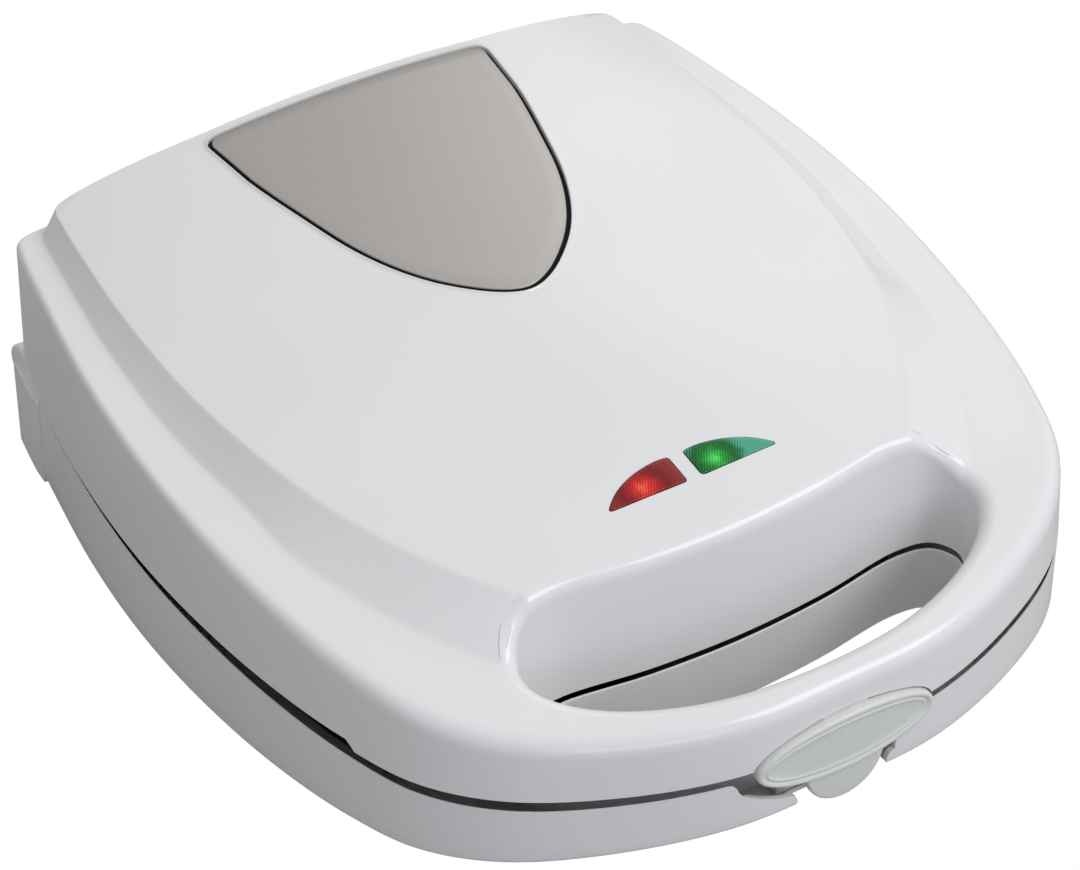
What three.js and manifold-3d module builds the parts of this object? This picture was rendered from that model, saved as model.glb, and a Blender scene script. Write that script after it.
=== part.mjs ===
// Cupcake maker with a hinged lid
//
// A countertop cooker in two white moulded housings. The base carries a baking plate with
// seven deep cups, the lid a plate with seven shallow domes, and each plate has its own
// heating element and reflector tray. The lid swings up on two pins at the rear corners,
// and a latch on the front of the handle holds it shut.
//
// Millimetres, +Z up, +X to the right seen from the front, front towards -Y.
// The origin is on the surface that the feet stand on, below the middle of the plan.

import * as THREE from 'three';
import { mergeVertices } from 'three/addons/utils/BufferGeometryUtils.js';
import Module from 'manifold-3d';

const wasm = await Module();
wasm.setup();

// Overall sizes

const overallWidth = 236;
const overallDepth = 260;
const seamHeight = 34;
const wall = 2.6;
const fitGap = 0.35;
const cutOverrun = 40;
const smallOverrun = 2;

// Lid heights above the seam

const spineFrontHeight = 36;
const spineMiddleHeight = 50;
const spineRearHeight = 61;
const crownDropFront = 2.2;
const crownDropMiddle = 4.5;
const crownDropRear = 9.4;
const shelfFrontHeight = 20;
const shelfRearHeight = 44.3;
const shoulderRadius = 5;
const wallDraft = 0.8;
const crownEdgeSoftness = 1.2;

// Base depths below the seam

const baseWallDepth = 22.5;
const baseFrontRise = 7;
const baseEdgeRadius = 3;
const undersideHeight = 5;
const bellyEdgeRadius = 6;

// Hinge

const hingeHeight = seamHeight + 1;
const earRadius = 5.75;
const earSideInset = 24.7;
const earWidth = 10.2;
const earInnerReach = overallWidth / 2 - earSideInset;
const earOuterReach = earInnerReach + earWidth;
const lugRadius = 4.6;
const lugWidth = 9.3;
const hingePinRadius = 2;
const hingeBlockDepth = 8.3;
const hingeBlockHeight = 9;
const cornerLegLength = 21;
const cornerLegProud = 0.6;
const cornerLegDrop = 1.5;

// Latch

const latchWidth = 56;
const latchHeight = 19;
const latchThickness = 3.4;
const latchProud = 3.75;
const latchCentreHeight = seamHeight + 2;
const latchBeadWidth = 1.1;
const latchBeadHeight = 0.5;
const latchPivotHeight = seamHeight + 9.2;
const latchPivotInset = 1.85;
const latchPinRadius = 0.9;
const latchPinLength = 26;
const latchBarrelRadius = 1.8;
const latchArmWidth = 14;
const latchRecessMargin = 0.56;
const latchSwingRoom = 0.9;
const tabRadius = 12;
const tabReach = 19.3;
const tabStep = 1;
const clipInset = 2.35;
const nibWidth = 12;
const nibHeight = 3;
const nibDrop = 13.5;
const notchWidth = 28;
const notchDepth = 4.8;
const recessWidth = 64;
const recessDrop = 9;
const recessDepth = 2.2;
const recessCorner = 5;
const latchSeatWidth = 76;
const latchSeatDepth = 11.5;

// Handle opening

const openingWidth = 134;
const openingDepth = 37.2;
const handleBar = 13;
const openingDraft = 0.13;
const openingRim = 4.5;

// Steel plate and indicator lenses in the crown

const badgeWidth = 90;
const badgeLength = 96;
const badgeRearInset = 6.5;
const badgeThickness = 0.9;
const badgeGroove = 1;
const badgeGrooveDepth = 1.3;
const badgeProud = 0.15;
const badgeBeadWidth = 1.5;
const badgeBeadHeight = 0.6;
const lensLength = 24;
const lensDepth = 9.3;
const lensSpacing = 4.8;
const lensFrontInset = 68.8;
const lensProud = 0.5;
const lensFlange = 1.4;
const lensFlangeDrop = 3.8;
const lensFlangeThickness = 1.4;

// Baking plates

const plateThickness = 2;
const plateInset = 6.5;
const plateSkirt = 5;
const plateSkirtThickness = 2;
const plateFrontInset = 57;
const plateRearInset = 9.5;
const lowerPlateDrop = 0.2;
const upperPlateLift = 0.4;
const cupWeb = 10;
const cupRowLand = 10.5;
const cupSideLand = 18;
const cupWall = 1.8;
const cupTaper = 7;
const cupDepth = 21;
const cupCornerRadius = 4;
const cupCentreShift = 2.5;
const domeInset = 1;
const domeHeight = 9;

// Heating elements and reflector trays

const elementRadius = 3.25;
const trayThickness = 0.8;
const trayRim = 9;
const trayInset = 9.5;
const upperTrayLift = 1.6;

// Posts and plate screws

const postRadius = 4;
const postElementGap = 8.7;
const postFrontInset = 99.5;
const postRearInset = 46;
const screwShankRadius = 1.5;
const screwHeadRadius = 3.2;
const screwHeadHeight = 1.6;
const screwLength = 11;

// Fittings inside the base and lid

const footRadius = 7;
const footRecess = 1.4;
const footSideInset = 48;
const footFrontInset = 88;
const footRearInset = 37.5;
const ventWidth = 2.6;
const ventLength = 30;
const ventPitch = 6;
const ventCount = 4;
const ventFrontInset = 126;
const glandSideReach = 44;
const glandBoreRadius = 3.4;
const glandFlangeRadius = 7;
const glandBodyRadius = 5.4;
const glandFlangeThickness = 2;
const glandLength = 9;
const glandHeight = seamHeight - 12.5;
const thermostatRadius = 8.5;
const thermostatHeight = 7;
const fuseRadius = 2.2;
const fuseLength = 22;
const fusePostGap = 5.3;
const thermostatPostGap = 2.05;
const terminalBlockSize = new THREE.Vector3(28, 9, 10);
const lampRadius = 2.9;
const lampLength = 13;
const lampHolderSize = new THREE.Vector3(80, 14, 1.6);
const lampHolderDrop = 15.3;
const lampCradleHeight = 2;
const lampPostSpacing = 70;
const lampPostRadius = 3;

// Faces round a full turn

const plainTurn = 16;
const cupTurn = 14;
const ovalTurn = 10;
const smallTurn = 8;
const spanSteps = 2;

// Places worked out from the sizes

const halfWidth = overallWidth / 2;
const frontFace = -overallDepth / 2 + latchProud;
const rearFace = overallDepth / 2 - earRadius;
const bodyDepth = rearFace - frontFace;
const openingFront = frontFace + handleBar;
const frontPostPlace = frontFace + postFrontInset;
const rearPostPlace = rearFace - postRearInset;
const plateFront = frontFace + plateFrontInset;
const plateRear = rearFace - plateRearInset;
const cupCentre = (plateFront + plateRear) / 2 + cupCentreShift;

// The cups are as large as the plate's length, with three rows, and its width, with three
// across, both allow
const rowShare = Math.sin(Math.PI / 3);
const rowReach = (plateRear - plateFront) / 2 - cupRowLand - cupWall;
const sideReach = halfWidth - plateInset - cupSideLand - cupWall;
const cupMouthRadius = Math.min((rowReach - cupWeb * rowShare) / (1 + 2 * rowShare), (sideReach - cupWeb) / 3);
const cupPitch = cupMouthRadius * 2 + cupWeb;
const cupBaseRadius = cupMouthRadius - cupTaper;
const domeMouthRadius = cupMouthRadius - domeInset;
const bodyCentre = frontFace + bodyDepth * 0.617;
const crownCentre = frontFace + bodyDepth * 0.45;

// Plan curves, as shares of the half width and of the depth from the front wall

const wallShares = [
  [0, 0], [0.254, 0.004], [0.508, 0.04], [0.729, 0.098], [0.856, 0.166], [0.924, 0.253],
  [0.975, 0.377], [1, 0.517], [1, 0.637], [0.977, 0.764], [0.935, 0.888], [0.9, 0.972],
  [0.882, 0.993], [0.831, 1], [0.424, 1], [0, 1],
];
const crownShares = [
  [0, 0.166], [0.254, 0.17], [0.441, 0.186], [0.517, 0.218], [0.585, 0.265], [0.661, 0.325],
  [0.746, 0.421], [0.797, 0.529], [0.822, 0.653], [0.814, 0.788], [0.792, 0.892], [0.769, 0.96],
  [0.754, 0.988], [0.72, 0.9945], [0.407, 0.995], [0, 0.995],
];

// How far the foot of the step lies out from the crown's edge towards the wall

const footShares = [
  0.4, 0.4, 0.4, 0.4, 0.39, 0.41, 0.45, 0.33, 0.31, 0.31, 0.33, 0.3, 0.25, 0.3, 0.4, 0.4,
];

// The handle opening, as shares of its half width and of its depth from its front edge

const openingShares = [
  [0, 0], [0.448, 0.081], [0.791, 0.323], [0.955, 0.565], [1, 0.753], [0.948, 0.941],
  [0.806, 1], [0.403, 0.906], [0, 0.868],
];

// The steel plate, as shares of its half width and of its length from its tip

const badgeShares = [
  [0, 0], [0.16, 0.024], [0.41, 0.12], [0.58, 0.225], [0.727, 0.37], [0.84, 0.557],
  [0.95, 0.785], [1, 1],
];

// One lens, as shares of its length and depth, from its inner front corner outwards

const lensShares = [[0, 0], [1, 0.05], [0.78, 0.52], [0.52, 0.83], [0.2, 0.99], [0, 0.97]];

// A heating element from its middle to one end, as shares of the cup pitch

const elementShares = [
  [0, -0.5], [0.25, -0.433], [0.433, -0.25], [0.5, 0], [0.506, 0.129], [0.548, 0.234],
  [0.677, 0.355], [0.839, 0.46], [0.968, 0.597], [1.048, 0.806], [1.065, 1.05], [1.065, 1.2],
];

const elementReach = elementShares[elementShares.length - 1][0] * cupPitch + elementRadius;
const postSideReach = elementReach + postElementGap + postRadius;

// Finishes

const whitePlastic = new THREE.MeshStandardMaterial({ color: 0xe6e6e8, roughness: 0.22 });
const greyPlastic = new THREE.MeshStandardMaterial({ color: 0xc6c8c6, roughness: 0.35 });
const steel = new THREE.MeshStandardMaterial({ color: 0xacaaa5, roughness: 0.35, metalness: 1 });
const sheetSteel = new THREE.MeshStandardMaterial({ color: 0xb4b6b8, roughness: 0.4, metalness: 1 });
const nonStick = new THREE.MeshStandardMaterial({ color: 0x1d1d1f, roughness: 0.45 });
const sheath = new THREE.MeshStandardMaterial({ color: 0x6d6a66, roughness: 0.5, metalness: 0.8 });
const redLens = new THREE.MeshStandardMaterial({ color: 0xc01818, roughness: 0.15 });
const greenLens = new THREE.MeshStandardMaterial({ color: 0x0f8a38, roughness: 0.15 });
const rubber = new THREE.MeshStandardMaterial({ color: 0x2a2a2b, roughness: 0.85 });
const ceramic = new THREE.MeshStandardMaterial({ color: 0xdcd6c8, roughness: 0.6 });
const lampGlass = new THREE.MeshStandardMaterial({ color: 0xd9c9b8, roughness: 0.1 });

// Solids: closed meshes that can be joined and cut

function solidOf(geometry) {
  const bare = new THREE.BufferGeometry();
  bare.setAttribute('position', geometry.getAttribute('position').clone());
  if (geometry.index) bare.setIndex(geometry.index.clone());
  const merged = mergeVertices(bare, 1e-4);
  return new wasm.Manifold(new wasm.Mesh({
    numProp: 3,
    vertProperties: Float32Array.from(merged.getAttribute('position').array),
    triVerts: Uint32Array.from(merged.index.array),
  }));
}

function meshOf(name, solid, material) {
  const { vertProperties, triVerts } = solid.getMesh();
  const geometry = new THREE.BufferGeometry();
  geometry.setAttribute('position', new THREE.BufferAttribute(vertProperties, 3));
  geometry.setIndex(new THREE.BufferAttribute(triVerts, 1));
  geometry.computeVertexNormals();
  const mesh = new THREE.Mesh(geometry, material);
  mesh.name = name;
  return mesh;
}

function joined(...solids) {
  return solids.reduce((sum, solid) => sum.add(solid));
}

function placed(geometry, x, y, z) {
  return solidOf(geometry.translate(x, y, z));
}

// A box between two corners

function block(low, high) {
  const size = high.clone().sub(low);
  const middle = high.clone().add(low).multiplyScalar(0.5);
  return placed(new THREE.BoxGeometry(size.x, size.y, size.z), middle.x, middle.y, middle.z);
}

// A round bar along X, Y or Z, from one end to the other

function bar(axis, radius, from, to, turn = smallTurn) {
  const length = to[axis] - from[axis];
  const geometry = new THREE.CylinderGeometry(radius, radius, length, turn);
  if (axis === 'x') geometry.rotateZ(-Math.PI / 2);
  if (axis === 'z') geometry.rotateX(Math.PI / 2);
  const middle = from.clone().add(to).multiplyScalar(0.5);
  return placed(geometry, middle.x, middle.y, middle.z);
}

// A turned piece on a vertical axis, from points of radius and height

function turned(profile, x, y, z, turn = plainTurn) {
  const points = profile.map(([radius, height]) => new THREE.Vector2(radius, height));
  const geometry = new THREE.LatheGeometry(points, turn);
  geometry.rotateX(Math.PI / 2);
  return placed(geometry, x, y, z);
}

// A straight wall round a plan outline, between two heights

function prism(outline, low, high) {
  const shape = new THREE.Shape(outline.map((point) => new THREE.Vector2(point.x, point.y)));
  const geometry = new THREE.ExtrudeGeometry(shape, { depth: high - low, bevelEnabled: false });
  return placed(geometry, 0, 0, low);
}

// A shape drawn on the front face, with X to the right and its second axis up, pushed back in Y

function frontPrism(shape, front, back) {
  const geometry = new THREE.ExtrudeGeometry(shape, {
    depth: back - front, bevelEnabled: false, curveSegments: ovalTurn,
  });
  geometry.rotateX(Math.PI / 2);
  return placed(geometry, 0, back, 0);
}

// A solid skinned over closed rings that climb, the last one drawn in to a point

function loft(rings, summit) {
  const count = rings[0].length;
  const points = rings.flat();
  const bottom = points.length;
  const floor = rings[0].reduce((sum, point) => sum.add(point), new THREE.Vector3());
  points.push(floor.divideScalar(count));
  points.push(summit);
  const faces = [];
  for (let turn = 0; turn < count; turn += 1) {
    const next = (turn + 1) % count;
    const top = (rings.length - 1) * count;
    faces.push(bottom, next, turn);
    faces.push(bottom + 1, top + turn, top + next);
    for (let level = 0; level < rings.length - 1; level += 1) {
      const here = level * count;
      const above = here + count;
      faces.push(here + turn, here + next, above + next);
      faces.push(here + turn, above + next, above + turn);
    }
  }
  const geometry = new THREE.BufferGeometry();
  const flat = Float32Array.from(points.flatMap((point) => point.toArray()));
  geometry.setAttribute('position', new THREE.BufferAttribute(flat, 3));
  geometry.setIndex(faces);
  return solidOf(geometry);
}

// Plan curves: half a table, mirrored and smoothed into a closed ring of points

function ringFrom(half, steps = spanSteps) {
  const mirrored = half.slice(1, -1).reverse().map((point) => new THREE.Vector3(-point.x, point.y, 0));
  const curve = new THREE.CatmullRomCurve3([...half, ...mirrored], true, 'centripetal');
  return curve.getPoints(curve.points.length * steps).slice(0, -1);
}

function bodyPoint([across, along]) {
  return new THREE.Vector3(across * halfWidth, frontFace + along * bodyDepth, 0);
}

function openingPoint([across, along]) {
  return new THREE.Vector3(across * openingWidth / 2, openingFront + along * openingDepth, 0);
}

// The same ring with each of its sides moved outwards by a distance

function outwardFrom(start, end) {
  return new THREE.Vector3(end.y - start.y, start.x - end.x, 0).normalize();
}

function spread(ring, distance) {
  return ring.map((point, index) => {
    const before = outwardFrom(ring[(index + ring.length - 1) % ring.length], point);
    const after = outwardFrom(point, ring[(index + 1) % ring.length]);
    const outward = before.clone().add(after).normalize();
    const stretch = 1 / Math.max(0.4, outward.dot(before));
    return point.clone().addScaledVector(outward, distance * stretch);
  });
}

function blended(table, steps = spanSteps) {
  const loop = [...table, ...table.slice(1, -1).reverse()];
  return loop.flatMap((value, index) => {
    const next = loop[(index + 1) % loop.length];
    return Array.from({ length: steps }, (_, step) => value + (next - value) * step / steps);
  });
}

const wallRing = ringFrom(wallShares.map(bodyPoint));
const crownRing = ringFrom(crownShares.map(bodyPoint));
const openingRing = ringFrom(openingShares.map(openingPoint));
const footShareRing = blended(footShares);
const plan = wallRing.map((outer, index) => {
  const inward = crownRing[index].clone().sub(outer);
  const gap = inward.length();
  return { outer, inward: inward.normalize(), gap, foot: gap * (1 - footShareRing[index]) };
});

function planRing(distanceOf, heightOf, skin = 0) {
  const spots = skin ? plan.filter((_, index) => index % spanSteps === 0) : plan;
  const ring = spots.map((spot) => {
    const point = spot.outer.clone().addScaledVector(spot.inward, distanceOf(spot));
    point.z = heightOf(point);
    return point;
  });
  return skin ? spread(ring, -skin) : ring;
}

// Heights of the lid's surface

function depthShare(point) {
  return (point.y - frontFace) / bodyDepth;
}

function throughThree(front, middle, rear, share) {
  const frontShare = 0.218;
  const middleShare = 0.577;
  const rise = (middle - front) / (middleShare - frontShare);
  const fall = (rear - middle) / (1 - middleShare);
  const bend = (fall - rise) / (1 - frontShare);
  return front + (share - frontShare) * (rise + bend * (share - middleShare));
}

function shelfHeight(point) {
  const share = Math.max(0, depthShare(point));
  const levelShare = 0.2;
  const ease = Math.min(1, share / levelShare);
  const climb = (1 - (1 - Math.min(1, share)) ** 1.35) * ease * (2 - ease);
  return seamHeight + shelfFrontHeight + (shelfRearHeight - shelfFrontHeight) * climb;
}

function crownHeight(point) {
  const share = depthShare(point);
  const spine = throughThree(spineFrontHeight, spineMiddleHeight, spineRearHeight, share);
  const drop = throughThree(crownDropFront, crownDropMiddle, crownDropRear, share);
  const crownHalfWidth = halfWidth * 0.8;
  return seamHeight + spine - drop * (point.x / crownHalfWidth) ** 2;
}

// The lid's outer surface, or the surface that lies one skin inside it

function lidForm(skin, floor) {
  const softness = shoulderRadius * 0.293;
  const inset = (distance, capShare) => (spot) => Math.min(distance, spot.gap * capShare);
  const shelfBelow = (drop) => (point) => shelfHeight(point) - drop - skin;
  const crownBelow = (drop) => (point) => crownHeight(point) - drop - skin;
  const between = (point) => (shelfHeight(point) + crownHeight(point)) / 2 - skin;
  const outside = skin === 0;
  const rings = [
    planRing(() => 0, () => floor, skin),
    planRing(inset(wallDraft, 0.25), shelfBelow(shoulderRadius), skin),
    ...(outside ? [planRing(inset(wallDraft + softness, 0.4), shelfBelow(softness), skin)] : []),
    planRing(inset(wallDraft + shoulderRadius, 0.55), shelfBelow(0), skin),
    planRing((spot) => spot.foot, shelfBelow(0), skin),
    ...(outside ? [planRing((spot) => (spot.foot + spot.gap) / 2, between, skin)] : []),
    planRing((spot) => spot.gap, crownBelow(crownEdgeSoftness), skin),
    planRing((spot) => spot.gap + crownEdgeSoftness * 1.6, crownBelow(0), skin),
  ];
  const edge = rings[rings.length - 1];
  for (const share of outside ? [0.2, 0.45, 0.72] : [0.5]) {
    rings.push(edge.map((point) => {
      const moved = new THREE.Vector3(point.x * (1 - share), point.y + (crownCentre - point.y) * share, 0);
      moved.z = crownHeight(moved) - skin;
      return moved;
    }));
  }
  const summit = new THREE.Vector3(0, crownCentre, 0);
  summit.z = crownHeight(summit) - skin;
  return loft(rings, summit);
}

// Height of a solid's top over a place in plan

function topOver(triangles, x, y) {
  let best = -Infinity;
  for (const [a, b, c] of triangles) {
    const span = (b.x - a.x) * (c.y - a.y) - (c.x - a.x) * (b.y - a.y);
    if (Math.abs(span) < 1e-9) continue;
    const second = ((x - a.x) * (c.y - a.y) - (c.x - a.x) * (y - a.y)) / span;
    const third = ((b.x - a.x) * (y - a.y) - (x - a.x) * (b.y - a.y)) / span;
    if (second < -1e-6 || third < -1e-6 || second + third > 1 + 1e-6) continue;
    best = Math.max(best, a.z + second * (b.z - a.z) + third * (c.z - a.z));
  }
  return best;
}

function trianglesOf(solid) {
  const { vertProperties, triVerts } = solid.getMesh();
  const corner = (index) => new THREE.Vector3().fromArray(vertProperties, index * 3);
  return Array.from({ length: triVerts.length / 3 }, (_, face) => (
    [corner(triVerts[face * 3]), corner(triVerts[face * 3 + 1]), corner(triVerts[face * 3 + 2])]
  ));
}

// Steel plate and lens outlines

function badgeOutline(margin) {
  const half = badgeShares.map(([across, along]) => new THREE.Vector3(
    across * badgeWidth / 2, rearFace - badgeRearInset - (1 - along) * badgeLength, 0,
  ));
  const side = new THREE.CatmullRomCurve3(half, false, 'centripetal').getPoints(half.length + 3);
  const other = side.slice(1).reverse().map((point) => new THREE.Vector3(-point.x, point.y, 0));
  return spread([...side, ...other], margin);
}

function lensOutline(sign, margin) {
  const points = lensShares.map(([outwards, along]) => new THREE.Vector3(
    sign * (lensSpacing / 2 + outwards * lensLength), frontFace + lensFrontInset + along * lensDepth, 0,
  ));
  return spread(sign > 0 ? points : points.reverse(), margin);
}

// Handle opening: walls that lean out as they rise, and a rounded rim that follows the lid

function openingCut(surface) {
  const ringAt = (offset, heightOf) => spread(openingRing, offset).map((point) => (
    new THREE.Vector3(point.x, point.y, heightOf(point))
  ));
  const lean = (point) => openingDraft * (topOver(surface, point.x, point.y) - seamHeight - openingRim);
  const rimSteps = [[0, 1], [0.22, 0.38], [0.62, 0.08]];
  const leaned = openingRing.map((point, index) => {
    const outwards = spread(openingRing, 1)[index].sub(point);
    return { point, outwards, lean: lean(point.clone().addScaledVector(outwards, openingRim)) };
  });
  const rim = rimSteps.map(([outShare, downShare]) => leaned.map((spot) => {
    const distance = spot.lean + outShare * openingRim;
    const point = spot.point.clone().addScaledVector(spot.outwards, distance);
    point.z = topOver(surface, point.x, point.y) - downShare * openingRim;
    return point;
  }));
  const lifted = leaned.map((spot) => {
    const point = spot.point.clone().addScaledVector(spot.outwards, spot.lean + openingRim * 1.05);
    point.z = topOver(surface, point.x, point.y) + openingRim * 0.06;
    return point;
  });
  const rings = [
    ringAt(0, () => seamHeight - smallOverrun),
    ringAt(0, () => seamHeight),
    ...rim,
    lifted,
    lifted.map((point) => new THREE.Vector3(point.x, point.y, seamHeight + spineRearHeight)),
  ];
  return loft(rings, new THREE.Vector3(0, openingFront + openingDepth / 2, seamHeight + spineRearHeight));
}

// What stays solid round the opening while the housing is hollowed

function openingSleeve(lean, low, high) {
  const rings = [
    spread(openingRing, wall).map((point) => new THREE.Vector3(point.x, point.y, low)),
    spread(openingRing, wall + lean).map((point) => new THREE.Vector3(point.x, point.y, high)),
  ];
  return loft(rings, new THREE.Vector3(0, openingFront + openingDepth / 2, high));
}

// Latch: an oval face over the seam with a tab below it, and behind them an arm with the catch

function ovalShape(width, height) {
  const shape = new THREE.Shape();
  shape.absellipse(0, latchCentreHeight, width / 2, height / 2, 0, Math.PI * 2);
  return shape;
}

const latchFaceFront = frontFace - latchProud;
const latchFaceBack = latchFaceFront + latchThickness;
const latchPivot = new THREE.Vector3(0, frontFace + latchPivotInset, latchPivotHeight);
const clipBack = frontFace + clipInset;
const notchBack = frontFace + notchDepth;

function latchFace() {
  const ring = (margin, front, back) => frontPrism(
    ovalShape(latchWidth - margin * 2, latchHeight - margin * 2), front, back,
  );
  const bead = (margin) => ring(margin, latchFaceFront, latchFaceBack)
    .subtract(ring(margin + latchBeadWidth, latchFaceFront - smallOverrun, latchFaceBack + smallOverrun));
  const shell = ring(0, latchFaceFront + latchBeadHeight, latchFaceBack);
  const beads = joined(bead(latchBeadWidth * 0.6), bead(latchBeadWidth * 2.6));
  const tab = new THREE.Shape();
  tab.absarc(0, seamHeight - tabReach + tabRadius, tabRadius, Math.PI, Math.PI * 2);
  tab.lineTo(tabRadius, latchCentreHeight);
  tab.lineTo(-tabRadius, latchCentreHeight);
  return joined(shell, beads, frontPrism(tab, latchFaceFront + tabStep, latchFaceBack));
}

function latchClip() {
  const sideways = (half, y, z) => new THREE.Vector3(half, y, z);
  const half = latchArmWidth / 2;
  const barrel = bar('x', latchBarrelRadius,
    sideways(-half, latchPivot.y, latchPivot.z), sideways(half, latchPivot.y, latchPivot.z));
  const arm = block(
    new THREE.Vector3(-half, latchFaceBack + fitGap, seamHeight - nibDrop - nibHeight),
    new THREE.Vector3(half, clipBack, latchPivot.z),
  );
  const nib = block(
    new THREE.Vector3(-nibWidth / 2, clipBack - fitGap, seamHeight - nibDrop - nibHeight),
    new THREE.Vector3(nibWidth / 2, notchBack - fitGap * 2, seamHeight - nibDrop),
  );
  const bore = bar('x', latchPinRadius + fitGap,
    sideways(-halfWidth, latchPivot.y, latchPivot.z), sideways(halfWidth, latchPivot.y, latchPivot.z));
  const faceRoom = frontPrism(ovalShape(latchWidth, latchHeight), frontFace - cutOverrun, latchFaceBack + fitGap);
  return joined(barrel, arm, nib).subtract(faceRoom).subtract(bore);
}

// Plan of a baking plate: the wall's outline drawn in, and straight across behind the opening

function platePlan(inset) {
  return planRing(() => inset, () => 0);
}

function behindOpening(inset, low, high) {
  return block(
    new THREE.Vector3(-overallWidth, plateFront + inset, low),
    new THREE.Vector3(overallWidth, plateRear - inset, high),
  );
}

function plateBlank(inset, low, high) {
  return prism(platePlan(plateInset + inset), low, high).intersect(behindOpening(inset, low, high));
}

const cupPlaces = [[0, 0], ...Array.from({ length: 6 }, (_, index) => (
  [Math.cos(index * Math.PI / 3) * cupPitch, Math.sin(index * Math.PI / 3) * cupPitch]
))].map(([x, y]) => new THREE.Vector2(x, cupCentre + y));

const postPlaces = [-1, 1].flatMap((side) => [frontPostPlace, rearPostPlace].map((y) => (
  new THREE.Vector2(side * postSideReach, y)
)));

function cupProfile(wallShare) {
  const thick = cupWall * wallShare;
  const corner = cupCornerRadius + thick;
  const base = cupBaseRadius + thick;
  const depth = -cupDepth - thick;
  const mouth = [cupMouthRadius + thick, 0];
  if (wallShare) return [[0, depth], [base - corner * 0.3, depth], mouth];
  return [[0, depth], [base - corner, depth], [base, depth + corner * 0.8], mouth];
}

function domeProfile(wallShare) {
  const thick = cupWall * wallShare;
  const radius = domeMouthRadius + thick;
  const height = domeHeight + thick;
  const steps = wallShare ? [0, 0.72, 1] : [0, 0.5, 0.85, 1];
  return steps.map((share) => [radius * share, height * Math.sqrt(1 - (share * 0.97) ** 2)])
    .map(([across, up], index) => [across, index === steps.length - 1 ? 0 : up])
    .reverse();
}

// Closes a profile back to the axis at the plate's face, past it by an overrun

function cupForm(profile, place, z, overrun) {
  const mouth = profile[profile.length - 1];
  return turned([...profile, [mouth[0], overrun], [0, overrun]], place.x, place.y, z, cupTurn);
}

function domeForm(profile, place, z, overrun) {
  const mouth = profile[0];
  return turned([[0, -overrun], [mouth[0], -overrun], ...profile], place.x, place.y, z, cupTurn);
}

function screwHole(place, low, high) {
  return bar('z', screwShankRadius + fitGap,
    new THREE.Vector3(place.x, place.y, low), new THREE.Vector3(place.x, place.y, high));
}

function screwSink(place, face, up) {
  const radius = screwHeadRadius + fitGap;
  const depth = screwHeadHeight;
  const profile = up
    ? [[0, -depth], [radius - depth, -depth], [radius, 0], [radius, depth], [0, depth]]
    : [[0, -depth], [radius, -depth], [radius, 0], [radius - depth, depth], [0, depth]];
  return turned(profile, place.x, place.y, face, smallTurn);
}

const lowerFace = seamHeight - lowerPlateDrop;
const lowerBack = lowerFace - plateThickness;
const upperFace = seamHeight + upperPlateLift;
const upperBack = upperFace + plateThickness;

function lowerPlate() {
  const slab = plateBlank(0, lowerBack, lowerFace);
  const skirt = plateBlank(0, lowerFace - plateSkirt, lowerBack)
    .subtract(plateBlank(plateSkirtThickness, lowerFace - plateSkirt - smallOverrun, lowerFace));
  let plate = joined(slab, skirt);
  for (const place of cupPlaces) plate = plate.add(cupForm(cupProfile(1), place, lowerFace, 0));
  for (const place of cupPlaces) plate = plate.subtract(cupForm(cupProfile(0), place, lowerFace, smallOverrun));
  for (const place of postPlaces) {
    plate = plate.subtract(screwHole(place, lowerBack - smallOverrun, lowerFace + smallOverrun));
    plate = plate.subtract(screwSink(place, lowerFace, true));
  }
  return plate;
}

function upperPlate() {
  const slab = plateBlank(0, upperFace, upperBack);
  const skirt = plateBlank(0, upperBack, upperFace + plateSkirt)
    .subtract(plateBlank(plateSkirtThickness, upperFace, upperFace + plateSkirt + smallOverrun));
  let plate = joined(slab, skirt);
  for (const place of cupPlaces) plate = plate.add(domeForm(domeProfile(1), place, upperFace, 0));
  for (const place of cupPlaces) plate = plate.subtract(domeForm(domeProfile(0), place, upperFace, smallOverrun));
  for (const place of postPlaces) {
    plate = plate.subtract(screwHole(place, upperFace - smallOverrun, upperBack + smallOverrun));
    plate = plate.subtract(screwSink(place, upperFace, false));
  }
  return plate;
}

function plateScrew(place, face, up) {
  const sign = up ? 1 : -1;
  const neck = screwHeadRadius - screwHeadHeight;
  const profile = [
    [0, -sign * fitGap], [screwHeadRadius - fitGap, -sign * fitGap],
    [neck, -sign * screwHeadHeight], [screwShankRadius, -sign * screwHeadHeight],
    [screwShankRadius, -sign * screwLength], [0, -sign * screwLength],
  ];
  return turned(up ? profile.reverse() : profile, place.x, place.y, face, smallTurn);
}

// Heating element: a sheathed rod bent round the middle cup and out between its neighbours

function heatingElement(height) {
  const half = elementShares.map(([across, along]) => (
    new THREE.Vector3(across * cupPitch, cupCentre + along * cupPitch, height)
  ));
  const other = half.slice(1).reverse().map((point) => new THREE.Vector3(-point.x, point.y, point.z));
  const path = new THREE.CatmullRomCurve3([...other, ...half], false, 'centripetal');
  const section = new THREE.Shape();
  section.absarc(0, 0, elementRadius, 0, Math.PI * 2);
  return solidOf(new THREE.ExtrudeGeometry(section, { steps: 32, extrudePath: path, curveSegments: 3 }));
}

// Reflector trays

function trayOutline(inset, every = 1) {
  return crownRing.filter((_, index) => index % every === 0).map((point) => new THREE.Vector3(
    point.x * bellyWidthShare, bodyCentre + (point.y - bodyCentre) * bellyLengthShare, 0,
  )).map((point) => {
    const centre = new THREE.Vector3(0, bodyCentre, 0);
    const inward = centre.sub(point).normalize();
    return point.addScaledVector(inward, inset);
  });
}

const bellyWidthShare = 1.06;
const bellyLengthShare = 0.89;

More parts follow.
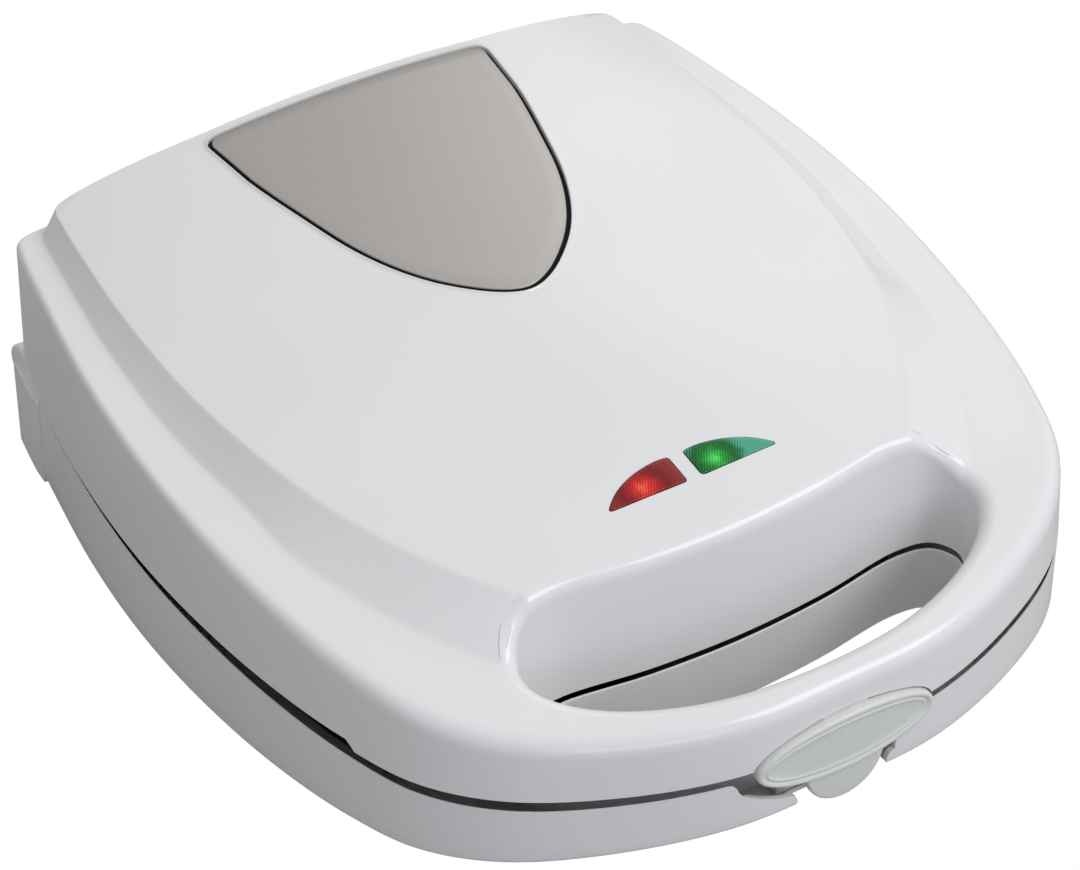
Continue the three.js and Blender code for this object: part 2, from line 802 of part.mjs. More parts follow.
function tray(low, up) {
  const high = low + trayRim;
  const sheetLow = up ? low : high - trayThickness;
  const sheetHigh = up ? low + trayThickness : high;
  const rim = prism(trayOutline(trayInset, spanSteps), low, high)
    .subtract(prism(trayOutline(trayInset + trayThickness, spanSteps), low - smallOverrun, high + smallOverrun));
  const sheet = prism(trayOutline(trayInset, spanSteps), sheetLow, sheetHigh);
  let pan = joined(rim, sheet);
  for (const place of postPlaces) {
    pan = pan.subtract(bar('z', postRadius + fitGap * 2,
      new THREE.Vector3(place.x, place.y, low - smallOverrun),
      new THREE.Vector3(place.x, place.y, high + smallOverrun)));
  }
  return pan;
}

// Base housing

function baseEdgeDepth(point) {
  const share = Math.max(0, depthShare(point));
  const risenShare = 0.35;
  const left = Math.max(0, 1 - share / risenShare);
  return baseWallDepth - baseFrontRise * left * left;
}

function baseBand(skin, top) {
  const edge = (lift) => (point) => seamHeight - baseEdgeDepth(point) + lift + skin;
  const soft = baseEdgeRadius * 0.3;
  const rings = [
    planRing((spot) => spot.gap, edge(0), skin),
    planRing((spot) => Math.min(baseEdgeRadius, spot.gap * 0.9), edge(0), skin),
    ...(skin ? [] : [planRing((spot) => Math.min(soft, spot.gap * 0.5), edge(soft), skin)]),
    planRing(() => 0, edge(baseEdgeRadius), skin),
    planRing(() => 0, () => top, skin),
  ];
  return loft(rings, new THREE.Vector3(0, bodyCentre, top));
}

function belly(skin, top) {
  const low = undersideHeight + skin;
  const soft = bellyEdgeRadius * 0.3;
  const every = skin ? spanSteps : 1;
  const ringAt = (inset, z) => trayOutline(inset + skin, every).map((point) => point.setZ(z));
  const rings = [
    ringAt(bellyEdgeRadius, low), ...(skin ? [] : [ringAt(soft, low + soft)]),
    ringAt(0, low + bellyEdgeRadius), ringAt(0, top),
  ];
  return loft(rings, new THREE.Vector3(0, bodyCentre, top));
}

const hingeAxis = (x) => new THREE.Vector3(x, rearFace, hingeHeight);

function cornerLegs() {
  const low = seamHeight - baseWallDepth - cornerLegDrop;
  const outline = spread(wallRing, cornerLegProud);
  const stock = prism(outline, low, seamHeight - fitGap).subtract(
    prism(planRing(() => 0, () => 0, wall), low - smallOverrun, seamHeight + smallOverrun),
  );
  return [-1, 1].map((side) => {
    const corner = block(
      new THREE.Vector3(side < 0 ? -halfWidth : earInnerReach - wall, rearFace - cornerLegLength, low),
      new THREE.Vector3(side < 0 ? wall - earInnerReach : halfWidth, rearFace + wall, seamHeight),
    );
    return stock.intersect(corner);
  });
}

function hingeEar(side) {
  const inner = side * earInnerReach;
  const outer = side * earOuterReach;
  const low = Math.min(inner, outer);
  const high = Math.max(inner, outer);
  const barrel = bar('x', earRadius, hingeAxis(low), hingeAxis(high), plainTurn);
  const web = block(
    new THREE.Vector3(low, rearFace - wall * 2, seamHeight - baseWallDepth + baseEdgeRadius),
    new THREE.Vector3(high, rearFace, hingeHeight),
  );
  const buttress = block(
    new THREE.Vector3(low, rearFace - wall, seamHeight - baseWallDepth / 2),
    new THREE.Vector3(high, rearFace + earRadius * 0.8, hingeHeight),
  );
  const boreEnd = side * (earOuterReach - wall * 0.6);
  const bore = bar('x', hingePinRadius + fitGap * 0.8,
    hingeAxis(Math.min(inner - side * smallOverrun, boreEnd)),
    hingeAxis(Math.max(inner - side * smallOverrun, boreEnd)));
  return { solid: joined(barrel, web, buttress), bore };
}

function lugRoom(radius, margin) {
  const inner = earInnerReach - lugWidth - fitGap - margin;
  const outer = earInnerReach + margin;
  return joined(
    bar('x', radius, hingeAxis(inner), hingeAxis(outer), plainTurn),
    bar('x', radius, hingeAxis(-outer), hingeAxis(-inner), plainTurn),
  );
}

// The thick corner that the lid's lug turns in, and the one that carries the lug

function hingeBlocks(low, high) {
  return [-1, 1].map((side) => {
    const inner = side * (earInnerReach - lugWidth - wall - fitGap);
    const outer = side * (earOuterReach - wall / 2);
    return block(
      new THREE.Vector3(Math.min(inner, outer), rearFace - hingeBlockDepth, low),
      new THREE.Vector3(Math.max(inner, outer), rearFace - wall / 2, high),
    );
  });
}

function plateLedge() {
  const low = lowerFace - plateSkirt - wall;
  const high = lowerFace - plateSkirt - fitGap;
  const outer = prism(platePlan(wall / 2), low, high);
  const inner = prism(platePlan(plateInset + plateSkirtThickness), low - smallOverrun, high + smallOverrun);
  const ring = outer.subtract(inner);
  const side = (sign) => block(
    new THREE.Vector3(sign < 0 ? -halfWidth : halfWidth * 0.7, bodyCentre - cupPitch * 0.8, low),
    new THREE.Vector3(sign < 0 ? -halfWidth * 0.7 : halfWidth, bodyCentre + cupPitch * 0.8, high),
  );
  return ring.intersect(joined(side(-1), side(1)));
}

function roundedRecess(width, low, high, corner) {
  const shape = new THREE.Shape();
  shape.moveTo(width / 2, high);
  shape.lineTo(-width / 2, high);
  shape.absarc(-width / 2 + corner, low + corner, corner, Math.PI, Math.PI * 1.5);
  shape.absarc(width / 2 - corner, low + corner, corner, -Math.PI / 2, 0);
  return shape;
}

function latchSeat(low, high) {
  return block(
    new THREE.Vector3(-latchSeatWidth / 2, frontFace - wall, low),
    new THREE.Vector3(latchSeatWidth / 2, frontFace + latchSeatDepth, high),
  );
}

const footPlaces = [-1, 1].flatMap((side) => [frontFace + footFrontInset, rearFace - footRearInset].map((y) => (
  new THREE.Vector2(side * (halfWidth - footSideInset), y)
)));

function baseHousing() {
  const lowest = undersideHeight - smallOverrun;
  const outer = joined(baseBand(0, seamHeight), belly(0, seamHeight - wall));
  const hollow = joined(baseBand(wall, seamHeight + smallOverrun), belly(wall, seamHeight - wall));
  const sleeve = openingSleeve(0, lowest, seamHeight + smallOverrun);
  let shell = outer.subtract(hollow.subtract(sleeve).subtract(latchSeat(lowest, seamHeight + wall)));
  for (const leg of cornerLegs()) shell = shell.add(leg);
  for (const piece of hingeBlocks(seamHeight - hingeBlockHeight, seamHeight)) shell = shell.add(piece);
  for (const side of [-1, 1]) shell = shell.add(hingeEar(side).solid);
  shell = shell.add(plateLedge().subtract(sleeve));
  for (const place of postPlaces) {
    shell = shell.add(bar('z', postRadius,
      new THREE.Vector3(place.x, place.y, undersideHeight + wall / 2),
      new THREE.Vector3(place.x, place.y, lowerBack - fitGap)));
  }
  for (const place of postPlaces) {
    shell = shell.subtract(screwHole(place, lowerFace - screwLength - smallOverrun, lowerFace));
  }
  for (const side of [-1, 1]) shell = shell.subtract(hingeEar(side).bore);
  shell = shell.subtract(lugRoom(lugRadius + fitGap * 2, fitGap));
  shell = shell.subtract(prism(openingRing, lowest, seamHeight + smallOverrun));
  for (const place of footPlaces) {
    shell = shell.subtract(bar('z', footRadius + fitGap,
      new THREE.Vector3(place.x, place.y, undersideHeight - smallOverrun),
      new THREE.Vector3(place.x, place.y, undersideHeight + footRecess), ovalTurn));
  }
  shell = shell.subtract(frontPrism(
    roundedRecess(recessWidth, seamHeight - recessDrop, seamHeight + smallOverrun, recessCorner),
    frontFace - wall, frontFace + recessDepth,
  ));
  shell = shell.subtract(latchFaceRoom());
  shell = shell.subtract(block(
    new THREE.Vector3(-notchWidth / 2, frontFace - wall, undersideHeight),
    new THREE.Vector3(notchWidth / 2, notchBack, seamHeight + smallOverrun),
  ));
  const catchRib = block(
    new THREE.Vector3(-nibWidth / 2, notchBack - fitGap, seamHeight - nibDrop - nibHeight),
    new THREE.Vector3(nibWidth / 2, notchBack + wall, seamHeight - nibDrop),
  );
  shell = shell.add(catchRib);
  for (let index = 0; index < ventCount; index += 1) {
    const along = frontFace + ventFrontInset + (index - (ventCount - 1) / 2) * ventPitch;
    for (const side of [-1, 1]) {
      shell = shell.subtract(block(
        new THREE.Vector3(side * ventLength * 0.85 - ventLength / 2, along - ventWidth / 2, 0),
        new THREE.Vector3(side * ventLength * 0.85 + ventLength / 2, along + ventWidth / 2, undersideHeight + wall * 2),
      ));
    }
  }
  shell = shell.subtract(bar('y', glandBodyRadius + fitGap,
    new THREE.Vector3(glandSideReach, rearFace - wall * 2, glandHeight),
    new THREE.Vector3(glandSideReach, rearFace + smallOverrun, glandHeight), plainTurn));
  return shell;
}

// Lid housing

function rimCut() {
  const rearGap = 0.3;
  const sideGap = 4;
  const handleGap = 2;
  const frontGap = 3;
  const stepPlace = frontFace + bodyDepth * 0.2525;
  const shape = new THREE.Shape();
  const corners = [
    [rearFace + cutOverrun, seamHeight - cutOverrun], [rearFace + cutOverrun, seamHeight + rearGap],
    [frontFace + bodyDepth * 0.88, seamHeight + rearGap], [stepPlace, seamHeight + sideGap],
    [stepPlace, seamHeight + handleGap], [frontFace - cutOverrun, seamHeight + frontGap],
    [frontFace - cutOverrun, seamHeight - cutOverrun],
  ];
  corners.forEach(([y, z], index) => (index ? shape.lineTo(y, z) : shape.moveTo(y, z)));
  const geometry = new THREE.ExtrudeGeometry(shape, { depth: overallWidth * 1.2, bevelEnabled: false });
  geometry.rotateZ(Math.PI / 2);
  geometry.rotateY(Math.PI / 2);
  return placed(geometry, -overallWidth * 0.6, 0, 0);
}

function hingeLug(side) {
  const near = earInnerReach - fitGap - lugWidth;
  const far = earInnerReach - fitGap;
  const low = Math.min(side * near, side * far);
  const high = Math.max(side * near, side * far);
  const barrel = bar('x', lugRadius, hingeAxis(low), hingeAxis(high), plainTurn);
  const web = block(
    new THREE.Vector3(low, rearFace - wall * 1.2, hingeHeight),
    new THREE.Vector3(high, rearFace + lugRadius * 0.5, hingeHeight + lugRadius * 1.6),
  );
  const root = block(
    new THREE.Vector3(low, rearFace - wall * 1.8, hingeHeight + lugRadius * 0.9),
    new THREE.Vector3(high, rearFace - wall / 2, hingeHeight + lugRadius * 3),
  );
  const bore = bar('x', hingePinRadius + fitGap * 0.8,
    hingeAxis(Math.min(side * (near + wall * 0.6), side * (far + smallOverrun))),
    hingeAxis(Math.max(side * (near + wall * 0.6), side * (far + smallOverrun))));
  return { solid: joined(barrel, web, root), bore };
}

function earClearance() {
  const radius = earRadius + fitGap * 1.3;
  const inner = earInnerReach - fitGap;
  return joined(
    bar('x', radius, hingeAxis(inner), hingeAxis(halfWidth), plainTurn),
    bar('x', radius, hingeAxis(-halfWidth), hingeAxis(-inner), plainTurn),
  );
}

const lampPlaceY = frontFace + lensFrontInset + lensDepth / 2;
const lampHolderHeight = crownHeight(new THREE.Vector3(0, lampPlaceY, 0)) - lampHolderDrop;
const lampPostPlaces = [-1, 1].map((side) => new THREE.Vector2(side * lampPostSpacing / 2, lampPlaceY));

function lidHousing(outer, surface) {
  const floor = seamHeight - smallOverrun;
  const hollow = lidForm(wall, floor - smallOverrun);
  const sleeve = openingSleeve(openingDraft * spineFrontHeight, floor, seamHeight + spineFrontHeight + wall);
  const rimGuard = openingSleeve(openingRim, seamHeight + shelfFrontHeight / 2, seamHeight + spineRearHeight);
  const keep = joined(sleeve, rimGuard.intersect(sleeveBand()));
  let shell = outer.subtract(
    hollow.subtract(keep).subtract(latchSeat(floor, latchPivotHeight + latchBarrelRadius + wall * 2)),
  );
  const reach = seamHeight + spineRearHeight;
  for (const place of postPlaces) {
    shell = shell.add(bar('z', postRadius,
      new THREE.Vector3(place.x, place.y, upperBack + fitGap),
      new THREE.Vector3(place.x, place.y, reach)).intersect(outer));
  }
  for (const place of lampPostPlaces) {
    shell = shell.add(bar('z', lampPostRadius,
      new THREE.Vector3(place.x, place.y, lampHolderHeight + lampHolderSize.z + fitGap),
      new THREE.Vector3(place.x, place.y, reach)).intersect(outer));
  }
  for (const piece of hingeBlocks(seamHeight, seamHeight + hingeBlockHeight)) {
    shell = shell.add(piece.intersect(outer));
  }
  for (const side of [-1, 1]) shell = shell.add(hingeLug(side).solid);
  shell = shell.subtract(rimCutKeepingLugs());
  shell = shell.subtract(openingCut(surface));
  for (const place of postPlaces) {
    shell = shell.subtract(screwHole(place, upperFace, upperFace + screwLength + smallOverrun));
  }
  for (const place of lampPostPlaces) {
    shell = shell.subtract(bar('z', lampScrewRadius + fitGap,
      new THREE.Vector3(place.x, place.y, lampHolderHeight),
      new THREE.Vector3(place.x, place.y, lampHolderHeight + lampScrewLength)));
  }
  for (const side of [-1, 1]) shell = shell.subtract(hingeLug(side).bore);
  shell = shell.subtract(earClearance());
  shell = shell.subtract(latchRoom());
  return crownDetails(shell, outer);
}

const lampScrewRadius = 1.1;
const lampScrewLength = 8;

function sleeveBand() {
  return block(
    new THREE.Vector3(-openingWidth / 2 - openingRim * 3, openingFront - handleBar, seamHeight),
    new THREE.Vector3(openingWidth / 2 + openingRim * 3, openingFront + openingDepth + openingRim * 3,
      seamHeight + spineRearHeight),
  );
}

function rimCutKeepingLugs() {
  const clear = lugRoom(lugRadius + fitGap, fitGap);
  return rimCut().subtract(clear);
}

// The latch's place in the lid: an oval recess, the slot for its arm and the bore for its pin

function latchFaceRoom() {
  return frontPrism(
    ovalShape(latchWidth + latchRecessMargin * 2, latchHeight + latchRecessMargin * 2),
    frontFace - wall, latchFaceBack + latchSwingRoom,
  );
}

function latchRoom() {
  const slot = block(
    new THREE.Vector3(-latchArmWidth / 2 - fitGap, frontFace - wall, seamHeight - wall),
    new THREE.Vector3(latchArmWidth / 2 + fitGap, latchPivot.y + latchBarrelRadius + fitGap,
      latchPivot.z + latchBarrelRadius + fitGap),
  );
  const half = latchPinLength / 2 + fitGap;
  const bore = bar('x', latchPinRadius + fitGap * 0.8,
    new THREE.Vector3(-half, latchPivot.y, latchPivot.z), new THREE.Vector3(half, latchPivot.y, latchPivot.z));
  return joined(latchFaceRoom(), slot, bore);
}

// Groove and bead round the steel plate, and the lens openings

function crownDetails(shell, outer) {
  const highest = seamHeight + spineRearHeight + cutOverrun;
  const low = seamHeight + spineFrontHeight;
  const bead = prism(badgeOutline(badgeGroove + badgeBeadWidth), low, highest)
    .subtract(prism(badgeOutline(badgeGroove), low - smallOverrun, highest + smallOverrun))
    .intersect(outer.translate([0, 0, badgeBeadHeight]))
    .subtract(outer.translate([0, 0, -wall / 2]));
  const pocket = prism(badgeOutline(badgeGroove), low, highest)
    .subtract(outer.translate([0, 0, -badgeGrooveDepth]));
  let dressed = shell.add(bead).subtract(pocket);
  for (const sign of [-1, 1]) {
    dressed = dressed.subtract(prism(lensOutline(sign, fitGap), lampHolderHeight + lampHolderSize.z, highest));
  }
  return dressed;
}

function steelPlate(outer) {
  const highest = seamHeight + spineRearHeight + cutOverrun;
  const top = outer.translate([0, 0, badgeProud]);
  const under = outer.translate([0, 0, badgeProud - badgeThickness]);
  return prism(badgeOutline(0), seamHeight + spineFrontHeight, highest).intersect(top).subtract(under);
}

function lens(outer, sign) {
  const highest = seamHeight + spineRearHeight + cutOverrun;
  const low = seamHeight + shelfFrontHeight;
  const stem = prism(lensOutline(sign, 0), low, highest)
    .intersect(outer.translate([0, 0, lensProud]))
    .subtract(outer.translate([0, 0, -lensFlangeDrop - lensFlangeThickness]));
  const flange = prism(lensOutline(sign, lensFlange), low, highest)
    .intersect(outer.translate([0, 0, -lensFlangeDrop]))
    .subtract(outer.translate([0, 0, -lensFlangeDrop - lensFlangeThickness]));
  return joined(stem, flange);
}

// Small fittings

function foot(place) {
  const top = undersideHeight + footRecess - fitGap;
  return turned([
    [0, 0], [footRadius * 0.82, 0], [footRadius, footRadius * 0.2], [footRadius, top], [0, top],
  ], place.x, place.y, 0, ovalTurn);
}

function hingePin(side) {
  const far = earOuterReach - wall;
  const near = earInnerReach - lugWidth + wall;
  return bar('x', hingePinRadius, hingeAxis(Math.min(side * near, side * far)),
    hingeAxis(Math.max(side * near, side * far)));
}

function latchPin() {
  const half = latchPinLength / 2;
  return bar('x', latchPinRadius,
    new THREE.Vector3(-half, latchPivot.y, latchPivot.z), new THREE.Vector3(half, latchPivot.y, latchPivot.z));
}

function cordGland() {
  const profile = [
    [glandBoreRadius, 0], [glandFlangeRadius, 0], [glandFlangeRadius, glandFlangeThickness],
    [glandBodyRadius, glandFlangeThickness], [glandBodyRadius, glandLength],
    [glandBoreRadius, glandLength], [glandBoreRadius, 0],
  ];
  const points = profile.map(([radius, height]) => new THREE.Vector2(radius, height));
  const geometry = new THREE.LatheGeometry(points, plainTurn);
  geometry.rotateZ(Math.PI);
  return placed(geometry, glandSideReach, rearFace + glandFlangeThickness + fitGap, glandHeight);
}

function thermostat(place, z, up) {
  const flange = [[0, 0], [thermostatRadius, 0], [thermostatRadius, thermostatHeight * 0.55],
    [thermostatRadius * 0.7, thermostatHeight * 0.55], [thermostatRadius * 0.7, thermostatHeight],
    [0, thermostatHeight]];
  const profile = up ? flange : flange.map(([radius, height]) => [radius, -height]).reverse();
  return turned(profile, place.x, place.y, z);
}

function terminalBlock() {
  const size = terminalBlockSize;
  const rear = rearFace - wall - fitGap * 4;
  const low = seamHeight - baseWallDepth + wall + fitGap;
  let body = block(
    new THREE.Vector3(-size.x / 2, rear - size.y, low), new THREE.Vector3(size.x / 2, rear, low + size.z),
  );
  for (const column of [-1, 0, 1]) {
    body = body.subtract(bar('z', size.y / 4,
      new THREE.Vector3(column * size.x / 3, rear - size.y / 2, low + size.z / 2),
      new THREE.Vector3(column * size.x / 3, rear - size.y / 2, low + size.z + smallOverrun)));
  }
  return body;
}

function lampHolder() {
  const size = lampHolderSize;
  const low = lampHolderHeight;
  let plate = block(
    new THREE.Vector3(-size.x / 2, lampPlaceY - size.y / 2, low),
    new THREE.Vector3(size.x / 2, lampPlaceY + size.y / 2, low + size.z),
  );
  for (const sign of [-1, 1]) {
    const middle = sign * (lensSpacing + lensLength) / 2;
    for (const end of [-1, 1]) {
      const x = middle + end * lampLength * 0.32;
      plate = plate.add(block(
        new THREE.Vector3(x - size.z / 2, lampPlaceY - lampRadius * 1.6, low + size.z / 2),
        new THREE.Vector3(x + size.z / 2, lampPlaceY + lampRadius * 1.6, low + size.z + lampCradleHeight + lampRadius),
      ));
    }
    plate = plate.subtract(lampAlong(sign, lampRadius + fitGap));
  }
  for (const place of lampPostPlaces) {
    plate = plate.subtract(bar('z', lampScrewRadius + fitGap,
      new THREE.Vector3(place.x, place.y, low - smallOverrun),
      new THREE.Vector3(place.x, place.y, low + size.z + smallOverrun)));
  }
  return plate;
}

const lampAxisHeight = lampHolderHeight + lampHolderSize.z + lampCradleHeight + lampRadius;

function lampAlong(sign, radius) {
  const middle = sign * (lensSpacing + lensLength) / 2;
  return bar('x', radius,
    new THREE.Vector3(middle - lampLength / 2, lampPlaceY, lampAxisHeight),
    new THREE.Vector3(middle + lampLength / 2, lampPlaceY, lampAxisHeight), smallTurn);
}

function lampScrew(place) {
  const head = lampScrewRadius * 2;
  return turned([
    [0, -head * 0.7], [head, -head * 0.7], [head, -fitGap], [lampScrewRadius, -fitGap],
    [lampScrewRadius, lampScrewLength - smallOverrun], [0, lampScrewLength - smallOverrun],
  ], place.x, place.y, lampHolderHeight, smallTurn);
}

// Assembly: the base stands still, the lid group turns about the hinge pins,
// and the latch group turns about its pin in the lid

const appliance = new THREE.Group();
const base = new THREE.Group();
const lid = new THREE.Group();
const latch = new THREE.Group();
appliance.add(base, lid);
lid.add(latch);

const lidOuter = lidForm(0, seamHeight - smallOverrun);
const lidSurface = trianglesOf(lidOuter);
const thermostatPlace = new THREE.Vector2(
  postSideReach, rearPostPlace - postRadius - thermostatRadius - thermostatPostGap,
);
const fuseEnd = rearPostPlace - postRadius - fusePostGap;
const sideNames = { [-1]: 'left', 1: 'right' };
const cornerNames = ['front_left', 'rear_left', 'front_right', 'rear_right'];

base.add(meshOf('base_housing', baseHousing(), whitePlastic));
base.add(meshOf('lower_baking_plate', lowerPlate(), nonStick));
base.add(meshOf('lower_heating_element', heatingElement(lowerBack - elementRadius - fitGap), sheath));
base.add(meshOf('lower_reflector_tray', tray(undersideHeight + wall + fitGap, true), sheetSteel));
base.add(meshOf('lower_thermostat', thermostat(thermostatPlace, lowerBack - fitGap, false), ceramic));
base.add(meshOf('thermal_fuse', bar('y', fuseRadius,
  new THREE.Vector3(-postSideReach, fuseEnd - fuseLength, lowerBack - fuseRadius - fitGap),
  new THREE.Vector3(-postSideReach, fuseEnd, lowerBack - fuseRadius - fitGap),
), ceramic));
base.add(meshOf('terminal_block', terminalBlock(), ceramic));
base.add(meshOf('cord_gland', cordGland(), rubber));
footPlaces.forEach((place, index) => base.add(meshOf(`foot_${cornerNames[index]}`, foot(place), rubber)));
postPlaces.forEach((place, index) => {
  const corner = cornerNames[index];
  base.add(meshOf(`lower_plate_screw_${corner}`, plateScrew(place, lowerFace, true), sheetSteel));
  lid.add(meshOf(`upper_plate_screw_${corner}`, plateScrew(place, upperFace, false), sheetSteel));
});
for (const side of [-1, 1]) base.add(meshOf(`hinge_pin_${sideNames[side]}`, hingePin(side), sheetSteel));

lid.add(meshOf('lid_housing', lidHousing(lidOuter, lidSurface), whitePlastic));
lid.add(meshOf('steel_top_plate', steelPlate(lidOuter), steel));
lid.add(meshOf('red_lens', lens(lidOuter, -1), redLens));
lid.add(meshOf('green_lens', lens(lidOuter, 1), greenLens));
lid.add(meshOf('lamp_holder', lampHolder(), ceramic));
lid.add(meshOf('red_lamp', lampAlong(-1, lampRadius), lampGlass));
lid.add(meshOf('green_lamp', lampAlong(1, lampRadius), lampGlass));
lampPostPlaces.forEach((place, index) => {
  lid.add(meshOf(`lamp_holder_screw_${['left', 'right'][index]}`, lampScrew(place), sheetSteel));
});
lid.add(meshOf('upper_baking_plate', upperPlate(), nonStick));
lid.add(meshOf('upper_heating_element', heatingElement(upperBack + elementRadius + fitGap), sheath));
lid.add(meshOf('upper_reflector_tray',
  tray(upperFace + domeHeight + cupWall + upperTrayLift + trayThickness - trayRim, false), sheetSteel));
lid.add(meshOf('upper_thermostat',
  thermostat(new THREE.Vector2(-thermostatPlace.x, thermostatPlace.y), upperBack + fitGap, true), ceramic));
lid.add(meshOf('latch_pin', latchPin(), sheetSteel));

latch.add(meshOf('latch_face', latchFace(), greyPlastic));
latch.add(meshOf('latch_clip', latchClip(), greyPlastic));

export default appliance;
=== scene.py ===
# %% [markdown]
# A cupcake maker in glossy white plastic, seen from its front left corner. The packed
# model gives every piece its exact place, but its housings are faceted. This script keeps
# that frame and dresses it: the housings, the steel plate, the lenses, the latch and the
# baking plates are made again as smooth mouldings and pressings, and each surface gets
# the finish of its own material. Lengths are written in millimetres and turned to metres
# where a vertex is placed.

# %% Load the frame
import math

import bmesh
import bpy
from mathutils import Matrix, Vector


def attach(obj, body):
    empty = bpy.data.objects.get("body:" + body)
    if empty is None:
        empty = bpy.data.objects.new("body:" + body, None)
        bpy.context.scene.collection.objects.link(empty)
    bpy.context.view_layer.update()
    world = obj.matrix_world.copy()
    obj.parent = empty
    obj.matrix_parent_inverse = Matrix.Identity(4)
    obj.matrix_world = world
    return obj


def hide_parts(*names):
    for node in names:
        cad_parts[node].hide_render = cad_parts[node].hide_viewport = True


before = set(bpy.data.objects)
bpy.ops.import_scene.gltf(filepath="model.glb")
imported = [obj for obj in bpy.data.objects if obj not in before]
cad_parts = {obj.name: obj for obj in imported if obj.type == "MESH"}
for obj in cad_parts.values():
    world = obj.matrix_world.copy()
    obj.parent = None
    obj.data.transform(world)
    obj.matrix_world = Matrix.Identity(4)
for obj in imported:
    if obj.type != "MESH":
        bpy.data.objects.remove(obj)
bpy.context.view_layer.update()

MM = 0.001

# %% [markdown]
# The camera stands where the photographer's stood: in front of the left corner, looking
# down by about 39 degrees through a long lens. A constraint could aim it, but its three
# axes are written out here, so that the picture is the same on every run.

# %% Camera
scene = bpy.context.scene
lens = bpy.data.cameras.new("camera")
lens.sensor_width = 36
lens.lens = 133.34
lens.clip_end = 20
camera = bpy.data.objects.new("camera", lens)
scene.collection.objects.link(camera)
camera_right = Vector((0.8402, -0.5422, 0.0030)).normalized()
camera_back = Vector((-0.4242, -0.6539, 0.6264)).normalized()
camera_up = camera_back.cross(camera_right)
camera_turn = Matrix((camera_right, camera_up, camera_back)).transposed().to_4x4()
camera.matrix_world = Matrix.Translation(Vector((-468.2, -705.65, 728.2)) * MM) @ camera_turn
scene.camera = camera
scene.view_settings.view_transform = "Standard"
print("camera:", [round(v, 3) for v in camera.location])

# %% [markdown]
# A finish is a small graph of nodes on the standard shader. The first helper turns a
# colour as a painter writes it into the linear light that the renderer adds up. The
# second adds a node with its settings and its links, and every graph here is made of it.

# %% Colour and node helpers
def linear(text):
    parts = [int(text[i:i + 2], 16) / 255 for i in (1, 3, 5)]
    return [p / 12.92 if p < 0.04045 else ((p + 0.055) / 1.055) ** 2.4 for p in parts] + [1.0]


def add(tree, kind, inputs=None, **settings):
    made = tree.nodes.new(kind)
    for name, value in settings.items():
        setattr(made, name, value)
    for name, value in (inputs or {}).items():
        if isinstance(value, bpy.types.NodeSocket):
            tree.links.new(value, made.inputs[name])
        else:
            made.inputs[name].default_value = value
    return made


print("a middle grey as light:", round(linear("#808080")[0], 3))

# %% [markdown]
# No moulded or rolled surface is one even colour. Its tone drifts, its gloss changes a
# little with every ripple of the tool, and a fine relief breaks up the mirror image. An
# image of the surface could give all this, but noise needs no file and has no seams. So
# each finish is told as three groups: two colours, two roughness values, and the depth of
# the relief, each with the real size of its lumps in millimetres.

# %% A surface with drifting tone, gloss and relief
def surface(name, tone, gloss, relief, stretch=(1, 1, 1), **sockets):
    material = bpy.data.materials.new(name)
    material.use_nodes = True
    tree = material.node_tree
    shader = tree.nodes["Principled BSDF"]
    for socket, value in sockets.items():
        shader.inputs[socket].default_value = value
    here = add(tree, "ShaderNodeTexCoord").outputs["Object"]
    place = add(tree, "ShaderNodeMapping", {"Vector": here, "Scale": stretch}).outputs["Vector"]
    drift, ripple, fine = (
        add(tree, "ShaderNodeTexNoise", {"Vector": place, "Scale": 1 / (size * MM), "Detail": 2.0})
        for size in (tone[2], gloss[2], relief[1]))
    ramp = add(tree, "ShaderNodeValToRGB", {"Fac": drift.outputs["Fac"]})
    for stop, colour, at in zip(ramp.color_ramp.elements, tone[:2], (0.3, 0.7)):
        stop.color = linear(colour)
        stop.position = at
    rough = add(tree, "ShaderNodeMapRange",
                {"Value": ripple.outputs["Fac"], "To Min": gloss[0], "To Max": gloss[1]})
    bump = add(tree, "ShaderNodeBump",
               {"Height": fine.outputs["Fac"], "Strength": 1.0, "Distance": relief[0] * MM})
    tree.links.new(ramp.outputs["Color"], shader.inputs["Base Color"])
    tree.links.new(rough.outputs["Result"], shader.inputs["Roughness"])
    tree.links.new(bump.outputs["Normal"], shader.inputs["Normal"])
    return material


print("lumps drawn at 1 mm have the scale", 1 / MM)

# %% [markdown]
# The two housings are ABS, moulded against polished steel. That gives a white that is
# bright and slightly cool, a sharp gloss, and the very faint waviness that large
# mouldings have, which only shows where a light is mirrored. The latch is the same
# plastic in light grey, off a tool with a satin finish.

# %% Plastics of the housings and the latch
white_abs = surface("glossy_white_abs", ("#E3E3E5", "#E6E6E8", 60), (0.13, 0.2, 9),
                    (0.02, 26), IOR=1.53)
grey_abs = surface("light_grey_abs", ("#D8DAD8", "#DCDEDC", 25), (0.26, 0.34, 4),
                   (0.004, 1.4), IOR=1.53)
print("finishes:", white_abs.name, grey_abs.name)

# %% [markdown]
# The plate on the crown is stainless steel, brushed from front to back with a fine belt
# and then dulled, so it mirrors the room as a soft grey. Real scratches are about a
# twentieth of a millimetre wide and would not show, so these are drawn 0.3 wide. The
# screws and pins are zinc-plated, the trays are sheet, and the heat has darkened the
# sheaths of the elements.

